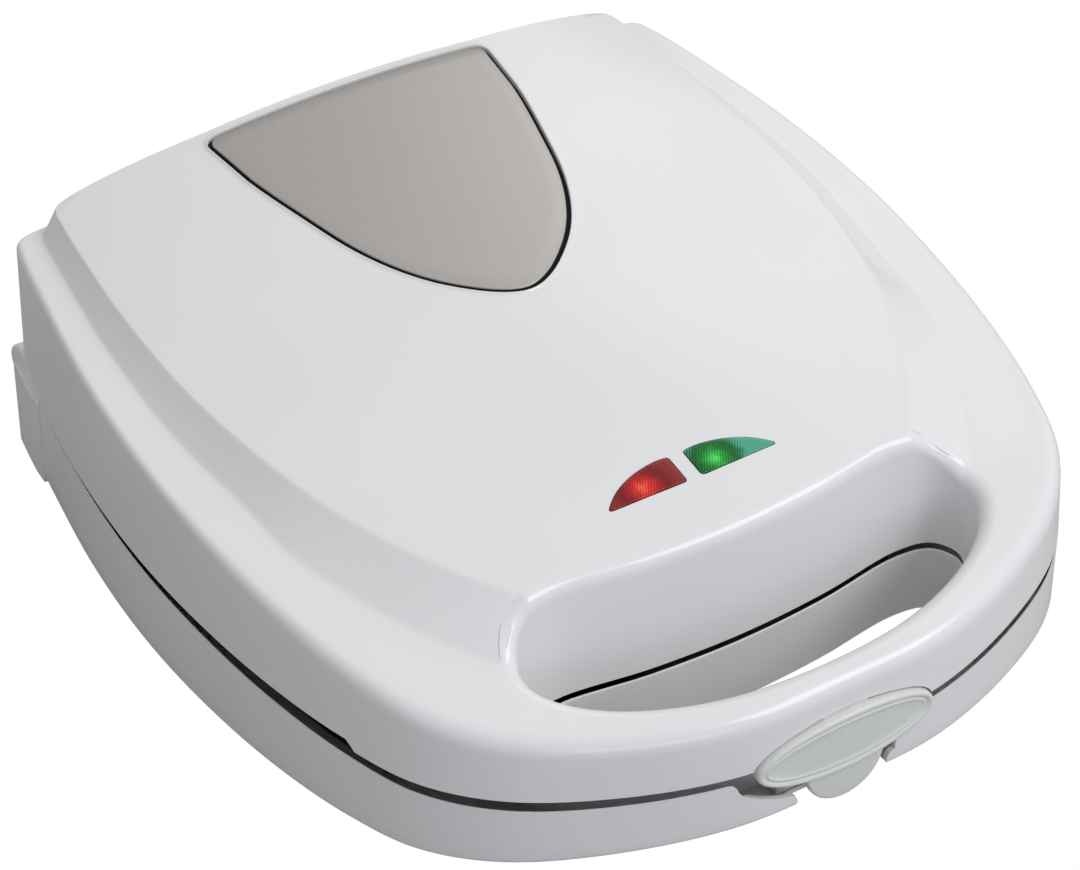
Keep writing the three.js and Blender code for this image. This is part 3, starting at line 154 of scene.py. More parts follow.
# %% Steels
satin_steel = surface("satin_stainless_steel", ("#B4B0AD", "#B9B6B2", 0.3), (0.36, 0.42, 0.3),
                      (0.0012, 0.3), (1, 0.02, 1), Metallic=1.0)
zinc_steel = surface("zinc_plated_steel", ("#B4B7BA", "#C2C4C4", 4), (0.28, 0.42, 2),
                     (0.004, 1.5), Metallic=1.0)
tray_metal = surface("aluminised_sheet", ("#A9ABAD", "#BDBFC0", 6), (0.34, 0.44, 3),
                     (0.01, 8), Metallic=1.0)
dull_sheath = surface("heat_darkened_sheath", ("#4E4842", "#6D6862", 5), (0.45, 0.6, 2),
                      (0.01, 1.2), Metallic=0.8)
print("finishes:", satin_steel.name, zinc_steel.name, tray_metal.name, dull_sheath.name)

# %% [markdown]
# The baking plates are sprayed with a black non-stick coating that has a fine orange
# peel. Feet and gland are rubber, which scatters nearly all of its light. The parts
# inside are plain: a chalky ceramic and lamp glass. Black tape holds the steel plate, and
# the same black sheet reaches out over the pocket's floor as painted shade, so that the
# gap round the plate shows black.

# %% Coating, rubber and the small parts
non_stick = surface("black_non_stick", ("#161617", "#222224", 0.6), (0.32, 0.46, 7), (0.02, 0.5))
foot_rubber = surface("black_rubber", ("#232324", "#2E2E2F", 1.5), (0.7, 0.8, 2), (0.02, 0.4))
# Black tape under the steel plate, spread past its edge as painted shade of the gap.
tape_and_painted_gap_shade = surface("black_tape_and_painted_gap_shade", ("#0E0E0F", "#161617", 0.8), (0.85, 0.95, 1), (0.05, 0.5))
white_ceramic = surface("steatite_ceramic", ("#D8D2C4", "#E2DDD0", 2), (0.5, 0.6, 1), (0.01, 0.6))
lamp_glass = surface("thin_lamp_glass", ("#D2B8A2", "#E2CDB8", 2), (0.06, 0.1, 2), (0.002, 3))
small_finishes = (non_stick, foot_rubber, tape_and_painted_gap_shade, white_ceramic, lamp_glass)
print("finishes:", *(finish.name for finish in small_finishes))

# %% [markdown]
# The lenses are coloured polycarbonate with fine ribs moulded into the inside, which
# spread the light of the small lamp behind them. Real glass with a light inside would
# need many samples. Here the lamp shows as a brighter patch that fades outwards, so the
# colour is a ramp over the distance from the lamp, and a wave across it draws the ribs,
# 0.7 millimetres apart. The ramp and the ribs take the place of the drifting tone.

# %% Ribbed lens plastic
rib_width, rib_turn, rib_depth = 0.7, math.radians(33), 0.03
glow_reach, grain = 11.0, 1.6
wave_at_scale_one = math.tau / 20


def lens_plastic(name, glow, stops):
    material = surface(name, (stops[0][1], stops[-1][1], 4), (0.1, 0.16, 2), (0.01, 0.7), IOR=1.58)
    tree = material.node_tree
    shader = tree.nodes["Principled BSDF"]
    shader.inputs["Specular IOR Level"].default_value = 0.22
    here = add(tree, "ShaderNodeTexCoord").outputs["Object"]
    away = add(tree, "ShaderNodeVectorMath", {0: here, 1: Vector(glow) * MM}, operation="DISTANCE")
    share = add(tree, "ShaderNodeMath", {0: away.outputs["Value"], 1: 1 / (glow_reach * MM)},
                operation="MULTIPLY")
    turned_place = add(tree, "ShaderNodeMapping", {"Vector": here, "Rotation": (0, 0, rib_turn)})
    ribs = add(tree, "ShaderNodeTexWave",
               {"Vector": turned_place.outputs["Vector"], "Distortion": 0.6, "Detail": 1.0,
                "Scale": wave_at_scale_one / (rib_width * MM)})
    cells = add(tree, "ShaderNodeTexNoise", {"Vector": here, "Scale": 1 / (grain * MM)})
    uneven = add(tree, "ShaderNodeMath",
                 {0: cells.outputs["Fac"], 1: 0.3, 2: share.outputs["Value"]},
                 operation="MULTIPLY_ADD")
    ribbed = add(tree, "ShaderNodeMath",
                 {0: ribs.outputs["Fac"], 1: 0.16, 2: uneven.outputs["Value"]},
                 operation="MULTIPLY_ADD")
    ramp = add(tree, "ShaderNodeValToRGB", {"Fac": ribbed.outputs["Value"]})
    while len(ramp.color_ramp.elements) < len(stops):
        ramp.color_ramp.elements.new(0.5)
    for stop, (at, colour) in zip(ramp.color_ramp.elements, stops):
        stop.position = at
        stop.color = linear(colour)
    bump = add(tree, "ShaderNodeBump",
               {"Height": ribs.outputs["Fac"], "Strength": 1.0, "Distance": rib_depth * MM})
    tree.links.new(ramp.outputs["Color"], shader.inputs["Base Color"])
    tree.links.new(bump.outputs["Normal"], shader.inputs["Normal"])
    return material


red_glass = lens_plastic("ribbed_red_polycarbonate", (-14, -54.5, 73), [
    (0.2, "#FF6A4E"), (0.42, "#D42A20"), (0.68, "#8C0E14"), (0.9, "#6E0C12"), (1.0, "#8A2424")])
green_glass = lens_plastic("ribbed_green_polycarbonate", (8.5, -54.3, 73), [
    (0.2, "#5CE86A"), (0.42, "#1FA23A"), (0.66, "#0B5E22"), (0.86, "#0E6A3C"), (1.0, "#4FA58A")])
print("finishes:", red_glass.name, green_glass.name)

# %% [markdown]
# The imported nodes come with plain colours. Where their shape is right they stay, so they
# only need their finish: rubber feet, zinc-plated screws and pins, ceramic fittings. The
# nodes that are replaced further down get theirs too, because they stay in the library.
# They are sorted by name, as a screw is a screw wherever it sits.

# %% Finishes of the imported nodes
finish_of = {
    "lower_baking_plate": non_stick, "upper_baking_plate": non_stick,
    "lower_heating_element": dull_sheath, "upper_heating_element": dull_sheath,
    "lower_reflector_tray": tray_metal, "upper_reflector_tray": tray_metal,
    "cord_gland": foot_rubber, "red_lamp": lamp_glass, "green_lamp": lamp_glass,
    "steel_top_plate": satin_steel, "red_lens": red_glass, "green_lens": green_glass,
    "latch_face": grey_abs, "latch_clip": grey_abs,
    "base_housing": white_abs, "lid_housing": white_abs,
}
for name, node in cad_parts.items():
    if name.startswith("foot"):
        finish = foot_rubber
    elif "screw" in name or "pin" in name:
        finish = zinc_steel
    else:
        finish = finish_of.get(name, white_ceramic)
    node.data.materials.clear()
    node.data.materials.append(finish)
print("finishes given to", len(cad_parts), "nodes")

# %% [markdown]
# The lid's form is drawn with two closed curves seen from above: the wall, and the edge
# of the raised crown. A third is the opening behind the handle. All are tables of shares
# of the width and of the depth, so they stay true if the size changes, and only the right
# half is written, because the left is its mirror image.

# %% Sizes and the tables of the plan
half_width, front_y, rear_y = 118.0, -126.25, 124.25
depth, seam, skin = rear_y - front_y, 34.0, 2.6
opening_width, opening_depth, handle_bar = 134.0, 37.2, 13.0
opening_y = front_y + handle_bar
hinge_y, hinge_z = rear_y, 35.0

wall_shares = [
    (0, 0), (0.254, 0.004), (0.508, 0.04), (0.729, 0.098), (0.856, 0.166), (0.924, 0.253),
    (0.975, 0.377), (1, 0.517), (1, 0.637), (0.977, 0.764), (0.935, 0.888), (0.9, 0.972),
    (0.882, 0.993), (0.831, 1), (0.424, 1), (0, 1)]
crown_shares = [
    (0, 0.166), (0.254, 0.17), (0.441, 0.186), (0.517, 0.218), (0.585, 0.265), (0.661, 0.325),
    (0.746, 0.421), (0.803, 0.529), (0.836, 0.653), (0.836, 0.788), (0.82, 0.892), (0.803, 0.96),
    (0.789, 0.988), (0.75, 0.9945), (0.407, 0.995), (0, 0.995)]
foot_shares = [
    0.4, 0.4, 0.4, 0.4, 0.39, 0.41, 0.45, 0.36, 0.36, 0.34, 0.3, 0.28, 0.25, 0.3, 0.4, 0.4]
opening_shares = [
    (0, 0), (0.448, 0.081), (0.791, 0.323), (0.955, 0.565), (1, 0.753), (0.948, 0.941),
    (0.806, 1), (0.403, 0.906), (0, 0.868)]
print("plan:", 2 * half_width, "by", depth, "mm")

# %% [markdown]
# One smooth curve runs through the points of each table, the same as in the solids. The
# wall and the crown are sampled together, so that every point of the one has its partner
# on the other. The foot of the step between them is a share of the way from the crown's
# edge out to the wall. A Bezier curve object could draw such a line, but a function gives
# a place wherever one is asked for.

# %% Plan curves
def body_place(share):
    return Vector((share[0] * half_width, front_y + share[1] * depth, 0))


def opening_place(share):
    return Vector((share[0] * opening_width / 2, opening_y + share[1] * opening_depth, 0))


def mirrored(half):
    return half + [Vector((-p.x, p.y, p.z)) for p in half[-2:0:-1]]


def on_curve(points, at):
    """A place on the closed smooth curve through the points; `at` counts points."""
    count = len(points)
    index = int(math.floor(at))
    t = at - index
    p0, p1, p2, p3 = (points[(index + k) % count] for k in (-1, 0, 1, 2))
    d0, d1, d2 = ((b - a).length ** 0.5 for a, b in ((p0, p1), (p1, p2), (p2, p3)))
    t1 = ((p1 - p0) / d0 - (p2 - p0) / (d0 + d1) + (p2 - p1) / d1) * d1
    t2 = ((p2 - p1) / d1 - (p3 - p1) / (d1 + d2) + (p3 - p2) / d2) * d1
    square = (p2 * 3 - p1 * 3 - t1 * 2 - t2) * t ** 2
    return p1 + t1 * t + square + (p1 * 2 - p2 * 2 + t1 + t2) * t ** 3


def outward(points, at):
    """The level direction square to the curve, pointing away from what it encloses."""
    along = on_curve(points, at + 0.02) - on_curve(points, at - 0.02)
    return Vector((along.y, -along.x, 0)).normalized()


wall_points = mirrored([body_place(s) for s in wall_shares])
crown_points = mirrored([body_place(s) for s in crown_shares])
opening_points = mirrored([opening_place(s) for s in opening_shares])
foot_loop = foot_shares + foot_shares[-2:0:-1]
turns = len(wall_points)
opening_turns = len(opening_points)


def foot_share(at):
    index = int(math.floor(at))
    t = at - index
    t = t * t * (3 - 2 * t)
    return foot_loop[index % turns] * (1 - t) + foot_loop[(index + 1) % turns] * t


steps_round = 8
samples = [k / steps_round for k in range(turns * steps_round)]
wall_ring = [on_curve(wall_points, at) for at in samples]
print("plan curves:", turns, "points round the wall,", len(samples), "samples")

# %% [markdown]
# Heights come from short formulas instead of vertices: a spine that rises to the back, a
# crown that falls away to both sides of it, and a shelf round the crown. A formula gives
# every neighbour the right height, so the large surfaces have no dents to smooth out.

# %% Heights of the lid's surface
shelf_front, shelf_rise, shelf_bend, shelf_start = 20, 24.3, 1.35, 0.2
spine_heights = (36, 50, 61)
side_drops = (2.2, 5.6, 10.0)


def through_three(front, middle, rear, share):
    front_share, middle_share = 0.218, 0.577
    rise = (middle - front) / (middle_share - front_share)
    fall = (rear - middle) / (1 - middle_share)
    bend = (fall - rise) / (1 - front_share)
    return front + (share - front_share) * (rise + bend * (share - middle_share))


def shelf_height(p):
    share = min(1.0, max(0.0, (p.y - front_y) / depth))
    ease = min(1.0, share / shelf_start)
    return seam + shelf_front + shelf_rise * (1 - (1 - share) ** shelf_bend) * ease * (2 - ease)


def crown_height(p):
    share = (p.y - front_y) / depth
    spine = through_three(*spine_heights, share)
    drop = through_three(*side_drops, share)
    return seam + spine - drop * (p.x / (half_width * 0.8)) ** 2


middle = Vector((0, front_y + depth * 0.55, 0))
print("crown in the middle:", round(crown_height(middle), 1), "mm")

# %% [markdown]
# The lid does not sit flat on the base. Round the handle it leaves an even gap, at a
# small step behind the handle the gap widens, and from there it closes towards the hinge.
# So the wall's lower edge follows a formula too, over the share of the depth.

# %% The lid's lower edge
handle_share, wide_share = 0.11, 0.2525
near_gap, wide_gap, least_gap = 3.4, 5.6, 0.3
gap_dip, gap_fall, fall_span = 0.6, 5.1, 0.6275


def rim_height(p):
    share = (p.y - front_y) / depth
    if share < handle_share:
        return seam + near_gap - ((handle_share - share) / handle_share) ** 2
    if share < wide_share:
        on = (share - handle_share) / (wide_share - handle_share)
        return seam + near_gap - gap_dip * on ** 2
    return seam + max(least_gap, wide_gap - gap_fall * (share - wide_share) / fall_span)


print("widest gap:", wide_gap, "mm")

# %% [markdown]
# One helper does the modelling of both housings. It extrudes a row of edges and sets the
# new row where it belongs, so a skin grows row by row like a knitted sleeve. Lofting
# between curves would do the same by hand in the editor. A skin becomes a piece when its
# faces point outwards and its sharp bends are marked, and then it rides on its body.

# %% Growing a skin row by row
def at_level(p, z):
    return Vector((p.x, p.y, z))


def first_ring(bm, places):
    ring = bmesh.ops.create_circle(bm, segments=len(places), radius=1.0)["verts"]
    for vert, place in zip(ring, places):
        vert.co = place * MM
    return list(ring)


def grow(bm, row, places, closed=True):
    ends = zip(row, row[1:] + row[:1]) if closed else zip(row, row[1:])
    edges = [bm.edges.get(pair) for pair in ends]
    made = bmesh.ops.extrude_edge_only(bm, edges=edges)["geom"]
    fresh = {v for v in made if isinstance(v, bmesh.types.BMVert)}
    following = [next(e.other_vert(v) for e in v.link_edges if e.other_vert(v) in fresh) for v in row]
    for vert, place in zip(following, places):
        vert.co = place * MM
    return following


def close_over(bm, ring, peak):
    last = grow(bm, ring, [peak] * len(ring))
    bmesh.ops.pointmerge(bm, verts=last, merge_co=peak * MM)


def piece_from(bm, name, material, body, smooth_angle=35):
    bmesh.ops.recalc_face_normals(bm, faces=bm.faces)
    mesh = bpy.data.meshes.new(name)
    bm.to_mesh(mesh)
    bm.free()
    mesh.materials.append(material)
    mesh.shade_smooth()
    mesh.set_sharp_from_angle(angle=math.radians(smooth_angle))
    made = bpy.data.objects.new(name, mesh)
    scene.collection.objects.link(made)
    if body:
        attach(made, body)
    return made


print("a row of a skin has", len(samples), "verts")

# %% [markdown]
# The handle is what remains in front of a large opening. The opening's rim is rounded,
# so that it feels soft in the hand, and at the rear the rim climbs from the shelf to the
# crown. It climbs with the same profile as the step round the crown: a short soft foot, a
# straight flank and a tight upper edge, as a mould's steel has it.

# %% The opening's rim
rim_round, opening_lean = 4.5, 0.13
climb_from, climb_to = 4.3, 5.6


def step_profile(share, low=0.11, high=0.1):
    """Rises from 0 to 1 with a soft foot, a straight flank and a tight upper edge."""
    peak = 1 / (1 - (low + high) / 2)
    if share < low:
        return peak * share ** 2 / (2 * low)
    if share < 1 - high:
        return peak * (share - low / 2)
    return 1 - peak * (1 - share) ** 2 / (2 * high)


def opening_rim(at):
    """The rim's outer line at the surface's own height, and the way out from the opening."""
    place = on_curve(opening_points, at)
    away = outward(opening_points, at)
    folded = at if at <= opening_turns / 2 else opening_turns - at
    climb = min(1.0, max(0.0, (folded - climb_from) / (climb_to - climb_from)))
    climb = step_profile(climb)
    near = place + away * (rim_round + 3)
    top = shelf_height(near) * (1 - climb) + crown_height(near) * climb
    lean = opening_lean * (top - seam - rim_round)
    edge = place + away * (lean + rim_round)
    return at_level(edge, shelf_height(edge) * (1 - climb) + crown_height(edge) * climb), away


print("opening:", opening_width, "by", opening_depth, "mm")

# %% [markdown]
# At the front there is no crown, only the handle, so there the shelf ends at the opening's
# rim. Further back it ends at the foot of the step. The two lines have to meet in one
# point, so near the opening the step is drawn over to the rim, softly over one and a bit
# points of the table.

# %% Where the shelf ends and the crown begins
front_span, crown_inset, pull_span = 3, 1.9, 1.3


def side_of(at):
    """1 on the right, -1 on the left, with the place counted from the front centre."""
    return (1, at) if at <= turns / 2 else (-1, turns - at)


def to_opening(at):
    """Which place on the opening faces a place on the front of the wall."""
    sign, folded = side_of(at)
    marks = [(0, 0), (1, 1), (2, 2.15), (front_span, climb_from)]
    for (a, b), (c, d) in zip(marks, marks[1:]):
        if folded <= c:
            on = b + (d - b) * (folded - a) / (c - a)
            return on if sign > 0 else (opening_turns - on) % opening_turns
    return None


def step_foot(at):
    wall, crown = on_curve(wall_points, at), on_curve(crown_points, at)
    return crown + (wall - crown) * foot_share(at)


def step_top(at):
    wall, crown = on_curve(wall_points, at), on_curve(crown_points, at)
    return crown + (crown - wall).normalized() * crown_inset


def drawn_over(line, at, join):
    """A place of the line, pulled near the opening so that its end meets `join`."""
    sign, folded = side_of(at)
    place, start = line(at), line(front_span)
    pull = max(0.0, 1 - (folded - front_span) / pull_span) ** 2
    return place + Vector((sign * (join.x - start.x), join.y - start.y, 0)) * pull


def foot_place(at):
    if side_of(at)[1] <= front_span:
        return opening_rim(to_opening(at))[0]
    place = drawn_over(step_foot, at, opening_rim(climb_from)[0])
    return at_level(place, shelf_height(place))


def crown_place(at):
    place = drawn_over(step_top, at, opening_rim(climb_to)[0])
    return at_level(place, crown_height(place))


foot_ring = [foot_place(at) for at in samples]
gaps = [(f - w).to_2d().length for w, f in zip(wall_ring, foot_ring)]
print("shelf:", round(min(gaps), 1), "to", round(max(gaps), 1), "mm wide")

# %% [markdown]
# The lid grows from its lower edge: up the wall, over the rounded shoulder and across the
# shelf. The wall leans in a little, as every moulding must to leave its mould, and the
# shoulder is generous round the handle and tight at the hinge end.

# %% The lid's wall, shoulder and shelf
wall_draft, shoulder_wide, shoulder_tight = 0.8, 5.0, 2.0
inwards = [Vector(((f - w).x, (f - w).y, 0)).normalized() for w, f in zip(wall_ring, foot_ring)]


def shoulder_radius(p):
    past_handle = max(0.0, (p.y - front_y) / depth - 0.12)
    return max(shoulder_tight, shoulder_wide - (shoulder_wide - shoulder_tight) * past_handle / 0.45)


def shoulder(turn):
    """A row of the rounded shoulder, drawn tighter where the shelf is narrow."""
    row = []
    for w, gap, inward in zip(wall_ring, gaps, inwards):
        radius = shoulder_radius(w)
        inset = wall_draft + radius * (1 - math.cos(turn))
        place = w + inward * inset * min(1.0, gap * 0.9 / (wall_draft + radius))
        row.append(at_level(place, shelf_height(place) - radius * (1 - math.sin(turn))))
    return row


bm = bmesh.new()
lower_edge = [at_level(w, rim_height(w)) for w in wall_ring]
ring = first_ring(bm, lower_edge)
for share in (0.25, 0.5, 0.75):
    ring = grow(bm, ring, [a.lerp(b, share) for a, b in zip(lower_edge, shoulder(0))])
for degrees in (0, 15, 30, 45, 60, 75, 90):
    ring = grow(bm, ring, shoulder(math.radians(degrees)))
shoulder_row = [v.co / MM for v in ring]
for share in (0.2, 0.4, 0.6, 0.8):
    row = [a.lerp(b, share) for a, b in zip(shoulder_row, foot_ring)]
    ring = grow(bm, ring, [at_level(p, shelf_height(p)) for p in row])
foot_row = grow(bm, ring, foot_ring)
print("shelf's inner row:", len(foot_row), "verts")

# %% [markdown]
# At the sides and the back the skin now climbs the step to the crown. Its rows are open
# at the handle, so their two ends are set on the opening's rim, and they lie closer where
# the profile bends.

# %% The step up to the crown
first = front_span * steps_round
count = len(samples)
row = foot_row[first:count - first + 1]
foot_line = [v.co / MM for v in row]
crown_line = [crown_place(at) for at in samples[first:count - first + 1]]
right_end, left_end = [row[0]], [row[-1]]
step_shares = [0.05, 0.1, 0.16, 0.22, 0.28, 0.37, 0.46, 0.55, 0.64, 0.73, 0.82,
               0.9, 0.93, 0.955, 0.98, 1.0]
for share in step_shares:
    climb = step_profile(share)
    line = [f.lerp(c, share) for f, c in zip(foot_line, crown_line)]
    places = [at_level(p, shelf_height(p) * (1 - climb) + crown_height(p) * climb) for p in line]
    on = climb_from + (climb_to - climb_from) * share
    places[0] = opening_rim(on)[0]
    places[-1] = opening_rim(opening_turns - on)[0]
    row = grow(bm, row, places, closed=False)
    right_end.append(row[0])
    left_end.append(row[-1])
print("step:", len(step_shares), "rows")

# %% [markdown]
# Where the opening cuts into the crown, a chain of edges along its rim closes the crown's
# outline. The crown then shrinks ring by ring to one point in its middle. A single large
# face could fill it, but only many small ones can follow the crown's curve.

# %% The crown
rear_arc = [climb_to + (opening_turns - 2 * climb_to) * k / 40 for k in range(1, 40)]
arc_verts = []
last = right_end[-1]
for on in rear_arc:
    last = bmesh.ops.extrude_vert_indiv(bm, verts=[last])["verts"][0]
    last.co = opening_rim(on)[0] * MM
    arc_verts.append(last)
bm.edges.new((last, left_end[-1]))
ring = row + arc_verts[::-1]
outline = [v.co / MM for v in ring]
for share in [0.02, 0.05, 0.1] + [0.1 + 0.8 * k / 14 for k in range(1, 15)]:
    line = [p.lerp(middle, share) for p in outline]
    ring = grow(bm, ring, [at_level(p, crown_height(p)) for p in line])
close_over(bm, ring, at_level(middle, crown_height(middle)))
print("crown:", len(outline), "verts round its edge")

# %% [markdown]
# Last, the skin turns down into the opening, over the rounded rim and down a leaning
# wall. On the real lid the hand's opening is moulded in one with the shell, so here it
# grows from the same verts and has no seam.

# %% The opening's walls
front_row = foot_row[count - first:] + foot_row[:first + 1]
ring = list(dict.fromkeys(front_row + right_end[1:] + arc_verts + left_end[:0:-1]))
rise = [climb_from + (climb_to - climb_from) * share for share in step_shares]
rim_at = [to_opening(at) for at in samples[count - first:] + samples[:first + 1]]
rim_at += rise + rear_arc + [opening_turns - on for on in rise[::-1]]
details = [opening_rim(on) for on in rim_at]
for degrees in (15, 30, 45, 60, 75, 90):
    turn = math.radians(degrees)
    down = Vector((0, 0, rim_round * (1 - math.cos(turn))))
    ring = grow(bm, ring, [p - away * rim_round * math.sin(turn) - down for p, away in details])
top_line = [v.co / MM for v in ring]
base_line = [on_curve(opening_points, on) for on in rim_at]
for share in (0.33, 0.66, 1.0):
    row = [at_level(t.lerp(b, share), t.z + (seam + 2.3 - t.z) * share)
           for t, b in zip(top_line, base_line)]
    ring = grow(bm, ring, row)
lid_skin = piece_from(bm, "lid_shell", white_abs, "lid")
print("lid skin:", len(lid_skin.data.polygons), "faces")

# %% [markdown]
# The base is grown the same way, from its rim down the wall, round the lower edge and in
# to the belly that hangs below it. The belly holds the cups, so it is deeper than the wall
# around it and cannot be seen from above. The wall's lower edge rises towards the handle.

# %% The base's outer skin
edge_rear, edge_rise, edge_bend = 6.0, 12.2, 2.5
edge_round, belly_round, underside = 1.7, 6, 5
belly_y = front_y + 0.617 * depth
belly_across, belly_along = 1.06, 0.89


def edge_height(p):
    share = (p.y - front_y) / depth
    return edge_rear + edge_rise * max(0.0, 1 - share) ** edge_bend


def belly_place(at, inset):
    p = on_curve(crown_points, at)
    place = Vector((p.x * belly_across, belly_y + (p.y - belly_y) * belly_along, 0))
    return place + (Vector((0, belly_y, 0)) - place).normalized() * inset


def wall_inset(distance):
    return [w - outward(wall_points, at) * distance for w, at in zip(wall_ring, samples)]


bm = bmesh.new()
ring = first_ring(bm, [at_level(w, seam) for w in wall_ring])
for share in (0.4, 0.8):
    row = [at_level(w, seam + (edge_height(w) + edge_round - seam) * share) for w in wall_ring]
    ring = grow(bm, ring, row)
for degrees in (0, 18, 36, 54, 72, 90):
    turn = math.radians(degrees)
    row = wall_inset(edge_round * (1 - math.cos(turn)))
    up = edge_round * (1 - math.sin(turn))
    ring = grow(bm, ring, [at_level(p, edge_height(p) + up) for p in row])
edge_row = wall_inset(edge_round)
belly_row = [belly_place(at, 0) for at in samples]
for share in (0.2, 0.4, 0.6, 0.8, 1.0):
    row = [a.lerp(b, share) for a, b in zip(edge_row, belly_row)]
    ring = grow(bm, ring, [at_level(p, edge_height(p)) for p in row])
for degrees in (18, 36, 54, 72, 90):
    left_over = 1 - math.sin(math.radians(degrees))
    row = [belly_place(at, belly_round * (1 - math.cos(math.radians(degrees)))) for at in samples]
    ring = grow(bm, ring, [at_level(p, underside + (edge_height(p) - underside) * left_over) for p in row])
under = Vector((0, belly_y, underside))
for share in (0.3, 0.6, 0.9):
    row = [at_level(belly_place(at, belly_round), underside).lerp(under, share) for at in samples]
    ring = grow(bm, ring, row)
close_over(bm, ring, under)
base_skin = piece_from(bm, "base_shell", white_abs, "base")
print("base skin:", len(base_skin.data.polygons), "faces")

# %% [markdown]
# A skin gets its wall from a Solidify modifier, which copies it inwards. The real wall is
# 2.6 millimetres all over. Only its edge can be seen, so the lid has 2.6 there and less
# above, where the tight bends of the step would make a thick inner wall cross itself, and
# the base has 1.5. Openings are cut through the finished wall with simple solids, as a
# mould forms them with steel cores. Each modifier is made the mesh at once.

# %% Walls and cuts
def finished(made):
    graph = bpy.context.evaluated_depsgraph_get()
    graph.update()
    mesh = bpy.data.meshes.new_from_object(made.evaluated_get(graph))
    old = made.data
    made.modifiers.clear()
    made.data = mesh
    bpy.data.meshes.remove(old)


def walled(made, thickness, edge=None):
    """Gives a skin its wall. Below the height `edge` the wall is as thick as a real one."""
    step = made.modifiers.new("wall", "SOLIDIFY")
    step.thickness = thickness * MM
    step.offset = -1
    if edge:
        group = made.vertex_groups.new(name="edge")
        group.add([v.index for v in made.data.vertices if v.co.z / MM < edge], 1.0, "REPLACE")
        step.thickness = skin * MM
        step.vertex_group = "edge"
        step.thickness_vertex_group = thickness / skin
    finished(made)


def cut(made, tool, operation="DIFFERENCE"):
    step = made.modifiers.new("cut", "BOOLEAN")
    step.operation = operation
    step.solver = "EXACT"
    step.object = tool
    finished(made)
    made.data.set_sharp_from_angle(angle=math.radians(35))
    mesh = tool.data
    print("cut", made.name, "with", tool.name, "to", len(made.data.polygons), "faces")
    bpy.data.objects.remove(tool)
    bpy.data.meshes.remove(mesh)


walled(base_skin, 1.5)
walled(lid_skin, 1.2, seam + 11)
print("walls:", len(base_skin.data.polygons), "and", len(lid_skin.data.polygons), "faces")

# %% [markdown]
# Most tools, and the plain pieces, are one of three solids: a block, a round bar, or a
# column whose top and bottom follow two surfaces. Bevels soften the ones that stay. Tools
# that do not touch are merged, so that one cut does the work of many. Moving an outline
# outwards gives a gap or a wall the same width all round, which scaling it would not.

# %% Simple solids
def block(name, low, high, body=None, soft=0.0):
    bm = bmesh.new()
    size = Vector(high) - Vector(low)
    place = Matrix.Translation((Vector(low) + size / 2) * MM) @ Matrix.Diagonal(size * MM).to_4x4()
    bmesh.ops.create_cube(bm, size=1.0, matrix=place)
    if soft:
        bmesh.ops.bevel(bm, geom=bm.edges[:], offset=soft * MM, segments=3, profile=0.5,
                        affect="EDGES", material=-1)
    return piece_from(bm, name, white_abs, body)


def rod(name, centre, radius, length, axis="x", soft=0.0):
    """A straight round bar about its centre."""
    quarter = math.pi / 2
    turn = {"x": Matrix.Rotation(quarter, 4, "Y"), "y": Matrix.Rotation(quarter, 4, "X"), "z": Matrix()}
    place = Matrix.Translation(Vector(centre) * MM) @ turn[axis]
    bm = bmesh.new()
    bmesh.ops.create_cone(bm, cap_ends=True, segments=64, radius1=radius * MM, radius2=radius * MM,
                          depth=length * MM, matrix=place)
    if soft:
        rims = [e for e in bm.edges if any(len(f.verts) > 4 for f in e.link_faces)]
        bmesh.ops.bevel(bm, geom=rims, offset=soft * MM, segments=3, profile=0.5,
                        affect="EDGES", material=-1)
    return piece_from(bm, name, white_abs, None)


def column(name, outline, low, high, material=white_abs, body=None):
    """A solid between two surfaces that are given as heights over the plan."""
    centre = sum(outline, Vector()) / len(outline)
    bm = bmesh.new()
    start = first_ring(bm, [at_level(p, low(p)) for p in outline])
    for height, shares in ((low, (0.25, 0.5, 0.75, 0.95)), (high, (0.0, 0.25, 0.5, 0.75, 0.95))):
        ring = start
        for share in shares:
            row = [p.lerp(centre, share) for p in outline]
            ring = grow(bm, ring, [at_level(p, height(p)) for p in row])
        close_over(bm, ring, at_level(centre, height(centre)))
    return piece_from(bm, name, material, body)


def merged(name, pieces):
    """Several tools that do not touch, as one."""
    bm = bmesh.new()
    for piece in pieces:
        mesh = piece.data
        bm.from_mesh(mesh)
        bpy.data.objects.remove(piece)
        bpy.data.meshes.remove(mesh)
    return piece_from(bm, name, white_abs, None)


def offset_line(points, distance):
    """A closed outline moved outwards, with its corners mitred."""
    moved = []
    for before, here, after in zip(points[-1:] + points[:-1], points, points[1:] + points[:1]):
        sides = [(here - before).normalized(), (after - here).normalized()]
        one, other = (Vector((s.y, -s.x, 0)) for s in sides)
        moved.append(here + (one + other) * distance / max(0.5, 1 + one.dot(other)))
    return moved


print("solids for tools: block, rod, column")

# %% [markdown]
# The front wall is slightly bowed in plan, and the latch, its seat and the recess behind
# it all follow that bow. So their shapes are drawn flat, as x and z, and one function
# sets each point back as the wall behind it curves away.

# %% Shapes on the bowed front
latch_z, latch_top, latch_back = 35.2, -128.4, -125.5
oval_across, oval_up = 27.4, 9.3
outside_y, bow_depth, bow_reach = -140, 0.95, 28


def bowed(x, z, y):
    return Vector((x, y + bow_depth * (x / bow_reach) ** 2, z))


def oval(half_across, half_up, y, segments=96):
    angles = [math.tau * k / segments for k in range(segments)]
    return [bowed(half_across * math.cos(a), latch_z + half_up * math.sin(a), y) for a in angles]


